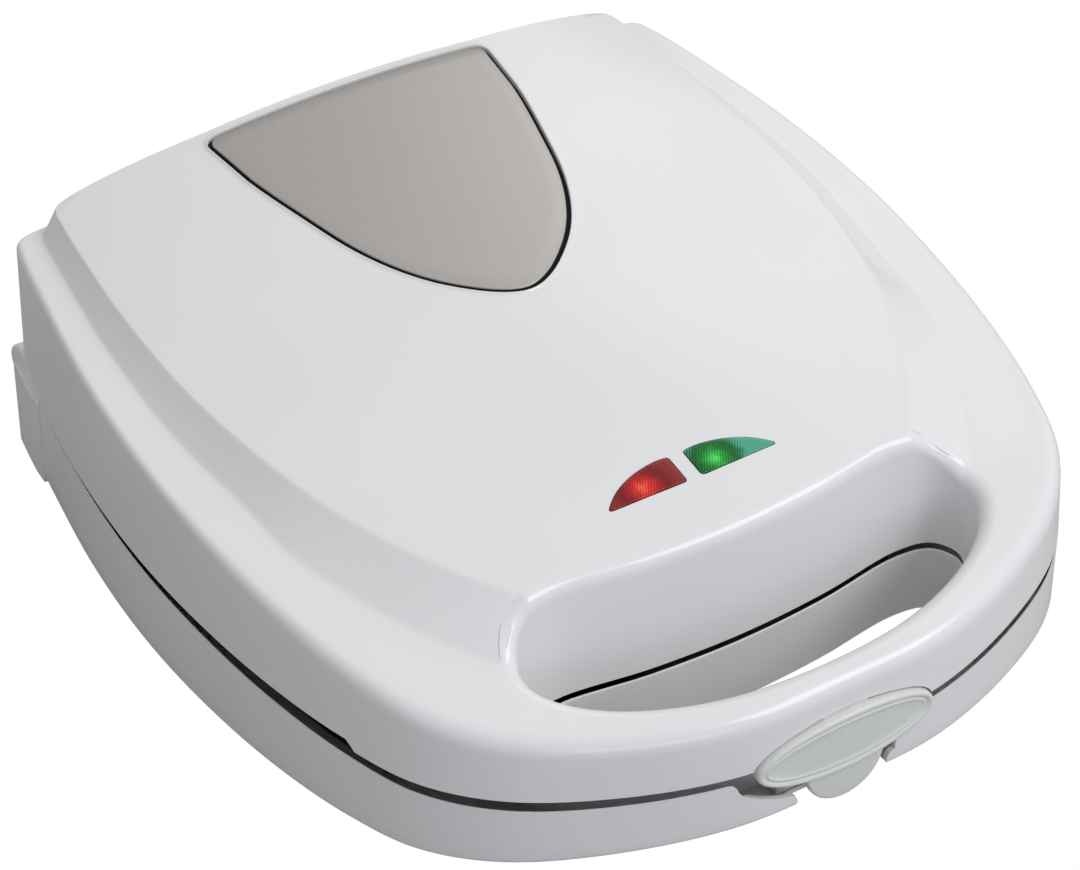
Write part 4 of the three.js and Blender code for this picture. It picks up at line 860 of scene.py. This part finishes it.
def front_prism(outline, y):
    """A tool that cuts an outline of x and z into the front wall, down to the bowed depth y."""
    bm = bmesh.new()
    ring = first_ring(bm, [Vector((x, outside_y, z)) for x, z in outline])
    bmesh.ops.contextual_create(bm, geom=ring)
    ring = grow(bm, ring, [bowed(x, z, y) for x, z in outline])
    bmesh.ops.contextual_create(bm, geom=ring)
    bmesh.ops.triangulate(bm, faces=[f for f in bm.faces if len(f.verts) > 4])
    return piece_from(bm, "front_tool", white_abs, None)


def oval_room():
    room = oval(oval_across + 0.6, oval_up + 0.6, 0)
    return front_prism([(p.x, p.z) for p in room], latch_back + 0.85)


print("latch oval:", 2 * oval_across, "by", 2 * oval_up, "mm")

# %% [markdown]
# The base has its cut-outs: the handle's opening, the room for the latch with a scooped
# recess that lets a fingertip behind the tab, a rebate for the lid's edge, vents, seats
# for the feet and the hole of the cord's gland. The recess is deeper on the left than on
# the right, as on the real cooker. A small block behind it stands for the catch's seat.

# %% Cut-outs of the base
fit_gap, rebate = 0.35, 6
opening_line = [on_curve(opening_points, k / 6) for k in range(6 * opening_turns)]
opening_tool = column("opening_tool", offset_line(opening_line, 1.3), lambda p: 0.0, lambda p: 40.0)
cut(base_skin, opening_tool)
tab_notch = [(16.6, 37), (16.6, 23.0), (15.5, 22.7), (14.7, 22.0), (14.2, 21.0), (14, 19.8),
             (14.3, 18.9), (15.1, 18.2), (16.4, 17.8), (16.4, 3)]
left_recess = [(34.5, 37), (34.5, 34.0), (33.2, 33.6), (32.3, 32.6), (31.7, 31.1), (30.6, 29.4),
               (28.6, 28.0), (24.5, 25.9), (20.5, 24.1), (17.5, 23.2), (15.5, 22.9)]
right_recess = [(28.7, 37), (28.7, 34.4), (28.2, 33.0), (26.5, 31.4), (22.5, 28.7), (18, 27.0),
                (14, 26.3)]
for on_right, on_left, y in ((tab_notch, tab_notch, -121.45),
                             (right_recess, left_recess, front_y + 2.3)):
    cut(base_skin, front_prism(on_right + [(-x, z) for x, z in on_left[::-1]], y))
cut(base_skin, oval_room())
cut(base_skin, column("rim_tool", wall_inset(fit_gap), lambda p: seam - rebate, lambda p: seam + rebate))
vent_x, vent_long, vent_wide, vent_top, vent_step = 25.5, 30, 2.6, 10.2, 6
foot_x, foot_rows, sink_radius, sink_depth = 70, (front_y + 88, rear_y - 37.5), 7.35, 4
vents, sinks = [], []
for side in (-1, 1):
    for k in range(4):
        x, y = side * vent_x, front_y + 126 + (k - 1.5) * vent_step
        low = (x - vent_long / 2, y - vent_wide / 2, 0)
        vents.append(block("vent", low, (x + vent_long / 2, y + vent_wide / 2, vent_top)))
    for y in foot_rows:
        sinks.append(rod("sink", (side * foot_x, y, 4.4), sink_radius, sink_depth, "z"))
cut(base_skin, merged("underside_tool", vents + sinks))
cut(base_skin, rod("gland_tool", (44, rear_y, 21.5), 5.75, 12, "y"))
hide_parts("base_housing")
seat = block("latch_seat", (-17.2, -121.4, 19.9), (17.2, -114.8, 33.9), "base", 0.3)
print("base shell:", len(base_skin.data.polygons), "faces")

# %% [markdown]
# The opening goes on through the base as a sleeve, so that a hand meets plastic all the
# way down. It is its own piece: a band of six lines, bridged to a closed ring, with a
# rebate at its top and a chamfer on the edge that shows under the lid.

# %% The opening's sleeve in the base
bm = bmesh.new()
outer_line = offset_line(opening_line, skin)
gap_line = offset_line(opening_line, fit_gap)
lines = [[at_level(p, seam - 0.4) for p in opening_line],
         [at_level(p, edge_height(p) + 0.1) for p in opening_line],
         [at_level(p, edge_height(p) + 0.1) for p in outer_line],
         [at_level(p, seam - rebate) for p in outer_line],
         [at_level(p, seam - rebate) for p in gap_line],
         [at_level(p, seam) for p in gap_line]]
start = first_ring(bm, lines[0])
ring = start
for line in lines[1:]:
    ring = grow(bm, ring, line)
ends = [bm.edges.get((r[k], r[k - 1])) for r in (start, ring) for k in range(len(r))]
bmesh.ops.bridge_loops(bm, edges=ends)
sleeve = piece_from(bm, "base_opening_wall", white_abs, "base")
print("sleeve:", len(sleeve.data.polygons), "faces")

# %% [markdown]
# At each rear corner the base wall is thickened into a leg that shows below and beside
# the lid, and an ear on it carries the hinge pin. On the real base they are one moulding.
# Here each corner is one piece, a column for the leg joined with one for the buttress and
# with a round bar for the ear, and the right one is the mirror image of the left.

# %% Corner legs and hinge ears
leg_back = hinge_y + 5.6
leg_foot, ear_x, ear_radius, ear_width = 5.6, 99.3, 5.6, 12
buttress_line = [(93.3, 119), (105.3, 119), (105.3, leg_back - 2.2), (105.0, leg_back - 1.2),
                 (104.3, leg_back - 0.4), (103.2, leg_back), (93.3, leg_back)]
leg_line = [(93.3, 119), (102, 118), (105.5, 106.5), (108.9, 106.5), (108.5, 112), (107.2, 119.5),
            (106.2, 124.5), (105.6, leg_back - 2.2), (105.1, leg_back - 1.0),
            (104.3, leg_back - 0.3), (103.2, leg_back), (93.3, leg_back)]


def on_side(outline, side):
    points = [Vector((side * x, y, 0)) for x, y in outline]
    return points if side > 0 else points[::-1]


for side, word in ((-1, "left"), (1, "right")):
    leg = column(f"hinge_leg_{word}", on_side(leg_line, side),
                 lambda p: leg_foot, lambda p: seam - 0.4, white_abs, "base")
    buttress = column("buttress", on_side(buttress_line, side),
                      lambda p: 20.0, lambda p: hinge_z - 0.5)
    cut(leg, buttress, "UNION")
    cut(leg, rod("ear", (side * ear_x, hinge_y, hinge_z), ear_radius, ear_width, soft=0.8), "UNION")
print("hinge legs: 2, down to", leg_foot, "mm over the worktop")

# %% [markdown]
# The lid needs room for the latch, a slot through which its clip reaches in, and a round
# notch at each rear corner, where the ears of the base stand.

# %% Cut-outs of the lid
cut(lid_skin, oval_room())
cut(lid_skin, block("slot_tool", (-7.35, -135, 31), (7.35, -122.25, 43.9)))
for side in (-1, 1):
    cut(lid_skin, rod("ear_tool", (side * 106, hinge_y, hinge_z), ear_radius + 0.6, 26))
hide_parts("lid_housing")
print("lid shell:", len(lid_skin.data.polygons), "faces")

# %% [markdown]
# A thin plate of stainless steel lies in a shallow pocket of the crown. Its outline is a
# shield: half of it is a table of shares, the curve runs through them, and the two rear
# corners are rounded a little, as on sheet that is handled.

# %% Outline of the steel plate
badge_half, badge_front, badge_length = 45, front_y + 148, 96
badge_shares = [(0, 0), (0.16, 0.024), (0.41, 0.12), (0.58, 0.225), (0.727, 0.37), (0.84, 0.557),
                (0.95, 0.785), (1, 1)]


def rounded_at(line, corner, reach, steps=7):
    """The closed line with its sharp corner drawn round over `reach` to both sides."""
    index = min(range(len(line)), key=lambda k: (line[k] - corner).length)
    loop = line[index + 1:] + line[:index]
    ends = []
    for side in (loop, loop[::-1]):
        far = next(k for k, p in enumerate(side) if (p - corner).length >= reach)
        near = side[far - 1] if far else corner
        done = (near - corner).length
        share = (reach - done) / ((side[far] - corner).length - done)
        ends.append((near.lerp(side[far], share), far))
    (after, skip_after), (before, skip_before) = ends
    kept = loop[skip_after:len(loop) - skip_before]
    shares = [k / steps for k in range(steps + 1)]
    return [before.lerp(corner, t).lerp(corner.lerp(after, t), t) for t in shares] + kept


badge_side = [Vector((x * badge_half, badge_front + y * badge_length, 0)) for x, y in badge_shares]
half_loop = [Vector((-p.x, p.y, 0)) for p in badge_side[:0:-1]] + badge_side
front_curve = [on_curve(half_loop, k / 5) for k in range(5, (len(half_loop) - 2) * 5 + 1)]
corner_right = badge_side[-1]
corner_left = Vector((-badge_half, corner_right.y, 0))
end_right = [badge_side[-2].lerp(corner_right, k / 5) for k in range(1, 6)]
end_left = [Vector((-p.x, p.y, 0)) for p in end_right[::-1]]
rear_edge = [corner_right.lerp(corner_left, k / 24) for k in range(1, 24)]
badge_line = end_left + front_curve + end_right + rear_edge
for corner in (corner_right, corner_left):
    badge_line = rounded_at(badge_line, corner, 3.6)
print("steel plate:", 2 * badge_half, "by", badge_length, "mm")

# %% [markdown]
# The plate is stamped from sheet, so its edge is barely rounded. It lies on black tape,
# which also reaches out over the pocket's floor to paint the gap round the plate as a dark
# line of shade, and the plastic rises to a small bead all round.
# Each of the three is drawn as a profile: pairs of a distance from the outline and a
# height over the crown. The outline then carries the profile round, and it lies on the
# crown everywhere, which a flat plate that is bent afterwards would not.

# %% Steel plate, its tape and painted gap shade, its pocket and its bead
badge_middle = Vector((0, badge_front + 60, 0))
pocket_line = offset_line(badge_line, 1.4)
cut(lid_skin, column("pocket_tool", pocket_line, lambda p: crown_height(p) - 1.4, lambda p: 110.0))


def on_badge(bm, profile):
    ring = None
    for distance, lift in profile:
        row = [at_level(p, crown_height(p) + lift) for p in offset_line(badge_line, distance)]
        ring = grow(bm, ring, row) if ring else first_ring(bm, row)
    return ring


def across_badge(bm, ring, distance, lift):
    edge = offset_line(badge_line, distance)
    for share in (0.1, 0.25, 0.4, 0.55, 0.7, 0.85, 0.95):
        row = [p.lerp(badge_middle, share) for p in edge]
        ring = grow(bm, ring, [at_level(p, crown_height(p) + lift) for p in row])
    close_over(bm, ring, at_level(badge_middle, crown_height(badge_middle) + lift))


bm = bmesh.new()
ring = on_badge(bm, [(0, -0.2), (0, 0.14), (-0.06, 0.23), (-0.2, 0.28)])
across_badge(bm, ring, -0.2, 0.28)
plate = piece_from(bm, "steel_plate_top", satin_steel, "lid")
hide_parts("steel_top_plate")

# The tape under the plate, and past its edge a black floor in the pocket: painted shade of the gap.
bm = bmesh.new()
ring = on_badge(bm, [(1.36, -1.36), (1.36, -1.1), (0.05, -1.1), (-0.05, -1.0), (-0.05, 0.0)])
across_badge(bm, ring, -0.05, 0.0)
piece_from(bm, "tape_and_painted_gap_shade_under_steel_plate", tape_and_painted_gap_shade, "lid")

bm = bmesh.new()
on_badge(bm, [(1.32, -1.2), (1.32, 0.15), (1.42, 0.38), (1.62, 0.47), (1.85, 0.38), (2.05, 0.16),
              (2.3, 0.04), (3.0, 0.02), (4.2, -0.05), (4.2, -0.3)])
bead = piece_from(bm, "bead_round_steel_plate", white_abs, "lid")
print("steel plate:", len(plate.data.polygons), "faces, bead:", len(bead.data.polygons))

# %% [markdown]
# Two lenses of clear coloured plastic stand in front of the neon lamps. Each is a quarter
# of a pointed oval, pushed up through a hole of its own shape from inside the lid. One
# line draws both, mirrored for the red one, and the same line with a small margin cuts
# the hole, so that the gap is even. Its three corners are rounded first.

# %% Outline of a lens
lens_x, lens_y, lens_length, lens_rise = 2.4, front_y + 68.8, 24, 9.3


def lens_line(sign, margin=0.0):
    curve = [(1, 0.05), (0.78, 0.52), (0.52, 0.83), (0.2, 0.99), (0, 0.97)]
    points = [Vector((lens_x + x * lens_length, lens_y + y * lens_rise, 0)) for x, y in curve]
    ahead, behind = points[0] * 2 - points[1], points[-1] * 2 - points[-2]
    path = [ahead] + points + [behind]
    arc = [on_curve(path, 1 + k / 6) for k in range(6 * (len(points) - 1) + 1)]
    foot = Vector((lens_x, lens_y, 0))
    line = [foot.lerp(arc[0], k / 12) for k in range(12)] + arc
    line += [arc[-1].lerp(foot, k / 6) for k in range(1, 6)]
    for corner, reach in ((foot, 1.0), (arc[0], 1.6), (arc[-1], 1.0)):
        line = rounded_at(line, corner, reach, 4)
    if sign < 0:
        line = [Vector((-p.x, p.y, 0)) for p in line[::-1]]
    return offset_line(line, margin)


print("lens:", lens_length, "by", lens_rise, "mm")

# %% [markdown]
# A lens stands a hair above the lid, with a tiny round on its edge. It has no thickness
# of its own here: it reaches five millimetres down into the lid, and its ribbed look is
# all in its finish.

# %% Lenses
lens_lift = 0.3
for sign, node, material in ((-1, "red_lens", red_glass), (1, "green_lens", green_glass)):
    cut(lid_skin, column("lens_tool", lens_line(sign, 0.3), lambda p: 55.0, lambda p: 110.0))
    line = lens_line(sign)
    centre = sum(line, Vector()) / len(line)
    bm = bmesh.new()
    ring = first_ring(bm, [at_level(p, crown_height(p) - 5) for p in line])
    for distance, lift in ((0, 0.05), (-0.12, 0.22), (-0.35, lens_lift)):
        row = offset_line(line, distance)
        ring = grow(bm, ring, [at_level(p, crown_height(p) + lift) for p in row])
    for share in (0.2, 0.5, 0.8):
        inner = [p.lerp(centre, share) for p in row]
        ring = grow(bm, ring, [at_level(p, crown_height(p) + lens_lift) for p in inner])
    close_over(bm, ring, at_level(centre, crown_height(centre) + lens_lift))
    made = piece_from(bm, f"{node}_smooth", material, "lid")
    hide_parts(node)
    print(made.name, len(made.data.polygons), "faces")

# %% [markdown]
# The latch is an oval plate that straddles the seam. A raised bead runs along its edge and
# a finer one just inside it. The beads could be cut or added afterwards, but a moulding has
# them in its one skin, so here the oval grows inwards ring by ring, and each ring says how
# far it lies in and how deep below the face.

# %% Latch oval
latch_rings = [
    (0, 0.9), (0.1, 0.5), (0.35, 0.2), (0.75, 0.04), (1.15, 0.06), (1.55, 0.25), (1.85, 0.5),
    (2.1, 0.62), (2.3, 0.52), (2.5, 0.3), (2.8, 0.22), (3.1, 0.3), (3.35, 0.48), (3.7, 0.56)]
inner_inset, inner_depth = latch_rings[-1]
inner_y = latch_top + inner_depth
bm = bmesh.new()
start = first_ring(bm, oval(oval_across, oval_up, latch_back))
close_over(bm, start, Vector((0, latch_back, latch_z)))
ring = start
for inset, sunk in latch_rings:
    ring = grow(bm, ring, oval(oval_across - inset, oval_up - inset, latch_top + sunk))
for share in (0.75, 0.5, 0.25, 0.05):
    inner = oval((oval_across - inner_inset) * share, (oval_up - inner_inset) * share, inner_y)
    ring = grow(bm, ring, inner)
close_over(bm, ring, Vector((0, inner_y, latch_z)))
face = piece_from(bm, "latch_oval", grey_abs, "latch", 50)
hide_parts("latch_face")
print("latch oval:", len(face.data.polygons), "faces")

# %% [markdown]
# A half-round tab hangs below the oval for the fingertip. It is a little thinner than the
# oval and starts behind it, so its straight top never shows, and its rim is softened in
# four small steps.

# %% Latch tab
tab_z, tab_radius, tab_front = latch_z - 7.3, 12, -127.6


def tab_line(inset, y):
    radius = tab_radius - inset
    angles = [math.pi + math.pi * k / 32 for k in range(33)]
    arc = [Vector((radius * math.cos(a), y, tab_z + radius * math.sin(a))) for a in angles]
    return arc + [Vector((radius, y, tab_z + 4)), Vector((-radius, y, tab_z + 4))]


bm = bmesh.new()
start = first_ring(bm, tab_line(0, latch_back))
ring = start
for inset, y in ((0, -126.9), (0.12, -127.25), (0.4, -127.5), (0.9, tab_front)):
    ring = grow(bm, ring, tab_line(inset, y))
close_over(bm, start, Vector((0, latch_back, tab_z)))
close_over(bm, ring, Vector((0, tab_front, tab_z)))
tab = piece_from(bm, "latch_tab", grey_abs, "latch", 50)
print("latch tab:", len(tab.data.polygons), "faces")

# %% [markdown]
# The lower plate has seven deep cups, the upper one seven shallow domes, one in the middle
# and six round it. A cup is drawn as half of its section, with a rounded corner between
# wall and floor, and spun about its axis.

# %% Shapes of the cups and the domes
cup_y, cup_ring = front_y + 151.5, 62
cup_angles = [k * math.pi / 3 for k in range(6)]
cup_places = [(0, cup_y)] + [(cup_ring * math.cos(a), cup_y + cup_ring * math.sin(a)) for a in cup_angles]


def form_profile(mouth, floor_radius, drop, corner, sign, grown):
    """Half of a form's section, from its floor's middle to its mouth and back to the axis."""
    lean = math.atan2(mouth - floor_radius, drop)
    centre_r, centre_h = floor_radius - corner * (1 - math.sin(lean)), drop - corner
    points = [(0, sign * drop)]
    for k in range(7):
        a = math.pi / 2 - (math.pi / 2 - lean) * k / 6
        points.append((centre_r + corner * math.cos(a), sign * (centre_h + corner * math.sin(a))))
    points.append((mouth, 0))
    overrun = 0.0 if grown else -sign * 2.0
    if overrun:
        points.append((mouth, overrun))
    return points + [(0, overrun)]


def spun(profile, x, y, z):
    """A profile of radius and height, spun about a vertical axis."""
    bm = bmesh.new()
    verts = [bm.verts.new(Vector((x + r, y, z + h)) * MM) for r, h in profile]
    edges = [bm.edges.new(pair) for pair in zip(verts, verts[1:])]
    bmesh.ops.spin(bm, geom=verts + edges, cent=Vector((x, y, z)) * MM, axis=(0, 0, 1),
                   angle=math.tau, steps=72, use_merge=True)
    bmesh.ops.remove_doubles(bm, verts=bm.verts, dist=1e-6)
    return piece_from(bm, "form", white_abs, None)


print("forms:", len(cup_places), "in each plate")

# %% [markdown]
# Both plates are pressed from aluminium sheet with a skirt away from the food. Their
# outline keeps an even distance from the housing's wall and is straight at the front and
# the back, where it is built from a row of points.

# %% Outline of the baking plates
wall_distance = 6.5


def plate_outline(inset=0.0):
    line = wall_inset(wall_distance + inset)
    low, high = front_y + 57 + inset, rear_y - 9.5 - inset
    inside = [p for p in line if low <= p.y <= high]
    right_side = sorted((p for p in inside if p.x > 0), key=lambda p: p.y)
    left_side = sorted((p for p in inside if p.x < 0), key=lambda p: -p.y)
    across = [k / 10 for k in range(-10, 11)]
    front_edge = [Vector((right_side[0].x * t, low, 0)) for t in across]
    rear_edge = [Vector((-right_side[-1].x * t, high, 0)) for t in across]
    return front_edge + right_side + rear_edge + left_side


print("plate outline:", len(plate_outline()), "points")

# %% [markdown]
# To press a form into a plate, a slightly larger solid of it is joined to the sheet, and
# then the form itself is cut out, which leaves a wall of the sheet's thickness. The
# joined tools bring their own finish along, so the black coating is given once more.

# %% Baking plates
sheet, skirt_drop, form_wall = 2, 5, 1.8


def baking_plate(name, z, sign, drop, mouth, floor_radius, corner):
    line = plate_outline()
    body = "lid" if sign > 0 else "base"
    made = column(name, line, lambda p: z + min(0, sign) * sheet, lambda p: z + max(0, sign) * sheet,
                  non_stick, body)
    skirt_low, skirt_high = sorted((z + sign * 1.0, z + sign * skirt_drop))
    skirt = column("skirt", line, lambda p: skirt_low, lambda p: skirt_high)
    cut(skirt, column("skirt_hole", plate_outline(2), lambda p: skirt_low - 3, lambda p: skirt_high + 3))
    cut(made, skirt, "UNION")
    for grown, operation in ((form_wall, "UNION"), (0, "DIFFERENCE")):
        shape = form_profile(mouth + grown, floor_radius + grown, drop + grown, corner + grown, sign, grown)
        cut(made, merged("forms", [spun(shape, x, y, z) for x, y in cup_places]), operation)
    made.data.materials.clear()
    made.data.materials.append(non_stick)
    made.data.shade_smooth()
    made.data.set_sharp_from_angle(angle=math.radians(35))
    return made


lower = baking_plate("lower_plate_with_cups", 33.8, -1, 21, 26, 19, 4)
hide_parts("lower_baking_plate")
upper = baking_plate("upper_plate_with_domes", 34.4, 1, 9, 25, 14, 8)
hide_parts("upper_baking_plate")
print("baking plates:", len(lower.data.polygons), "and", len(upper.data.polygons), "faces")

# %% [markdown]
# A product picture is lit with large soft boxes, because gloss mirrors its lamps, and a
# small one would leave a hard white dot. The key light stands at the front right, so the
# side towards the camera falls into a soft grey. A weak one behind draws the rear edges,
# and a wide bluish one fills the front.

# %% Lights
aim = Vector((0, 0, 0.04))


def softbox(name, place, size, watts):
    light = bpy.data.lights.new(name, "AREA")
    light.shape = "RECTANGLE"
    light.size, light.size_y = size
    light.energy = watts
    made = bpy.data.objects.new(name, light)
    scene.collection.objects.link(made)
    made.location = Vector(place)
    made.rotation_euler = (aim - made.location).to_track_quat("-Z", "Y").to_euler()
    return light


softbox("key_softbox", (0.95, -1.08, 1.45), (1.0, 0.8), 10.5)
softbox("rear_softbox", (1.16, 1.04, 1.26), (0.5, 0.8), 1.2)
softbox("front_fill", (-0.3, -1.9, 0.55), (1.0, 0.6), 3.4).color = linear("#DCE7FF")[:3]
print("softboxes:", len(bpy.data.lights))

# %% [markdown]
# The photograph's ground is pure white and has no shadow. So the floor and the world each
# have two faces: to the camera they are plain white, and to every other ray they are a
# pale matt board and a soft sky that is brighter above. A light path node tells the two
# kinds of ray apart.

# %% Floor and world
white = linear("#FFFFFF")
bm = bmesh.new()
bmesh.ops.create_grid(bm, x_segments=1, y_segments=1, size=6)
board = surface("studio_floor", ("#A8A8A6", "#ACACAA", 300), (0.85, 0.95, 200), (0.0, 50))
tree = board.node_tree
path = add(tree, "ShaderNodeLightPath")
plain = add(tree, "ShaderNodeEmission", {"Color": white, "Strength": 1.0})
both = add(tree, "ShaderNodeMixShader",
           {0: path.outputs["Is Camera Ray"], 1: tree.nodes["Principled BSDF"].outputs[0],
            2: plain.outputs[0]})
tree.links.new(both.outputs[0], tree.nodes["Material Output"].inputs["Surface"])
floor = piece_from(bm, "floor", board, None)

world = bpy.data.worlds.new("studio")
scene.world = world
world.use_nodes = True
tree = world.node_tree
tree.nodes.clear()
path = add(tree, "ShaderNodeLightPath")
place = add(tree, "ShaderNodeTexCoord").outputs["Generated"]
tilt = add(tree, "ShaderNodeVectorMath", {0: place, 1: (0.45, -0.15, 0.88)}, operation="DOT_PRODUCT")
level = add(tree, "ShaderNodeMapRange",
            {"Value": tilt.outputs["Value"], "From Min": -0.08, "From Max": 1.0,
             "To Min": 0.36, "To Max": 0.9})
sky = add(tree, "ShaderNodeBackground", {"Color": white, "Strength": level.outputs["Result"]})
plain = add(tree, "ShaderNodeBackground", {"Color": white, "Strength": 1.0})
both = add(tree, "ShaderNodeMixShader",
           {0: path.outputs["Is Camera Ray"], 1: sky.outputs[0], 2: plain.outputs[0]})
add(tree, "ShaderNodeOutputWorld", {"Surface": both.outputs[0]})
print("floor and world made")
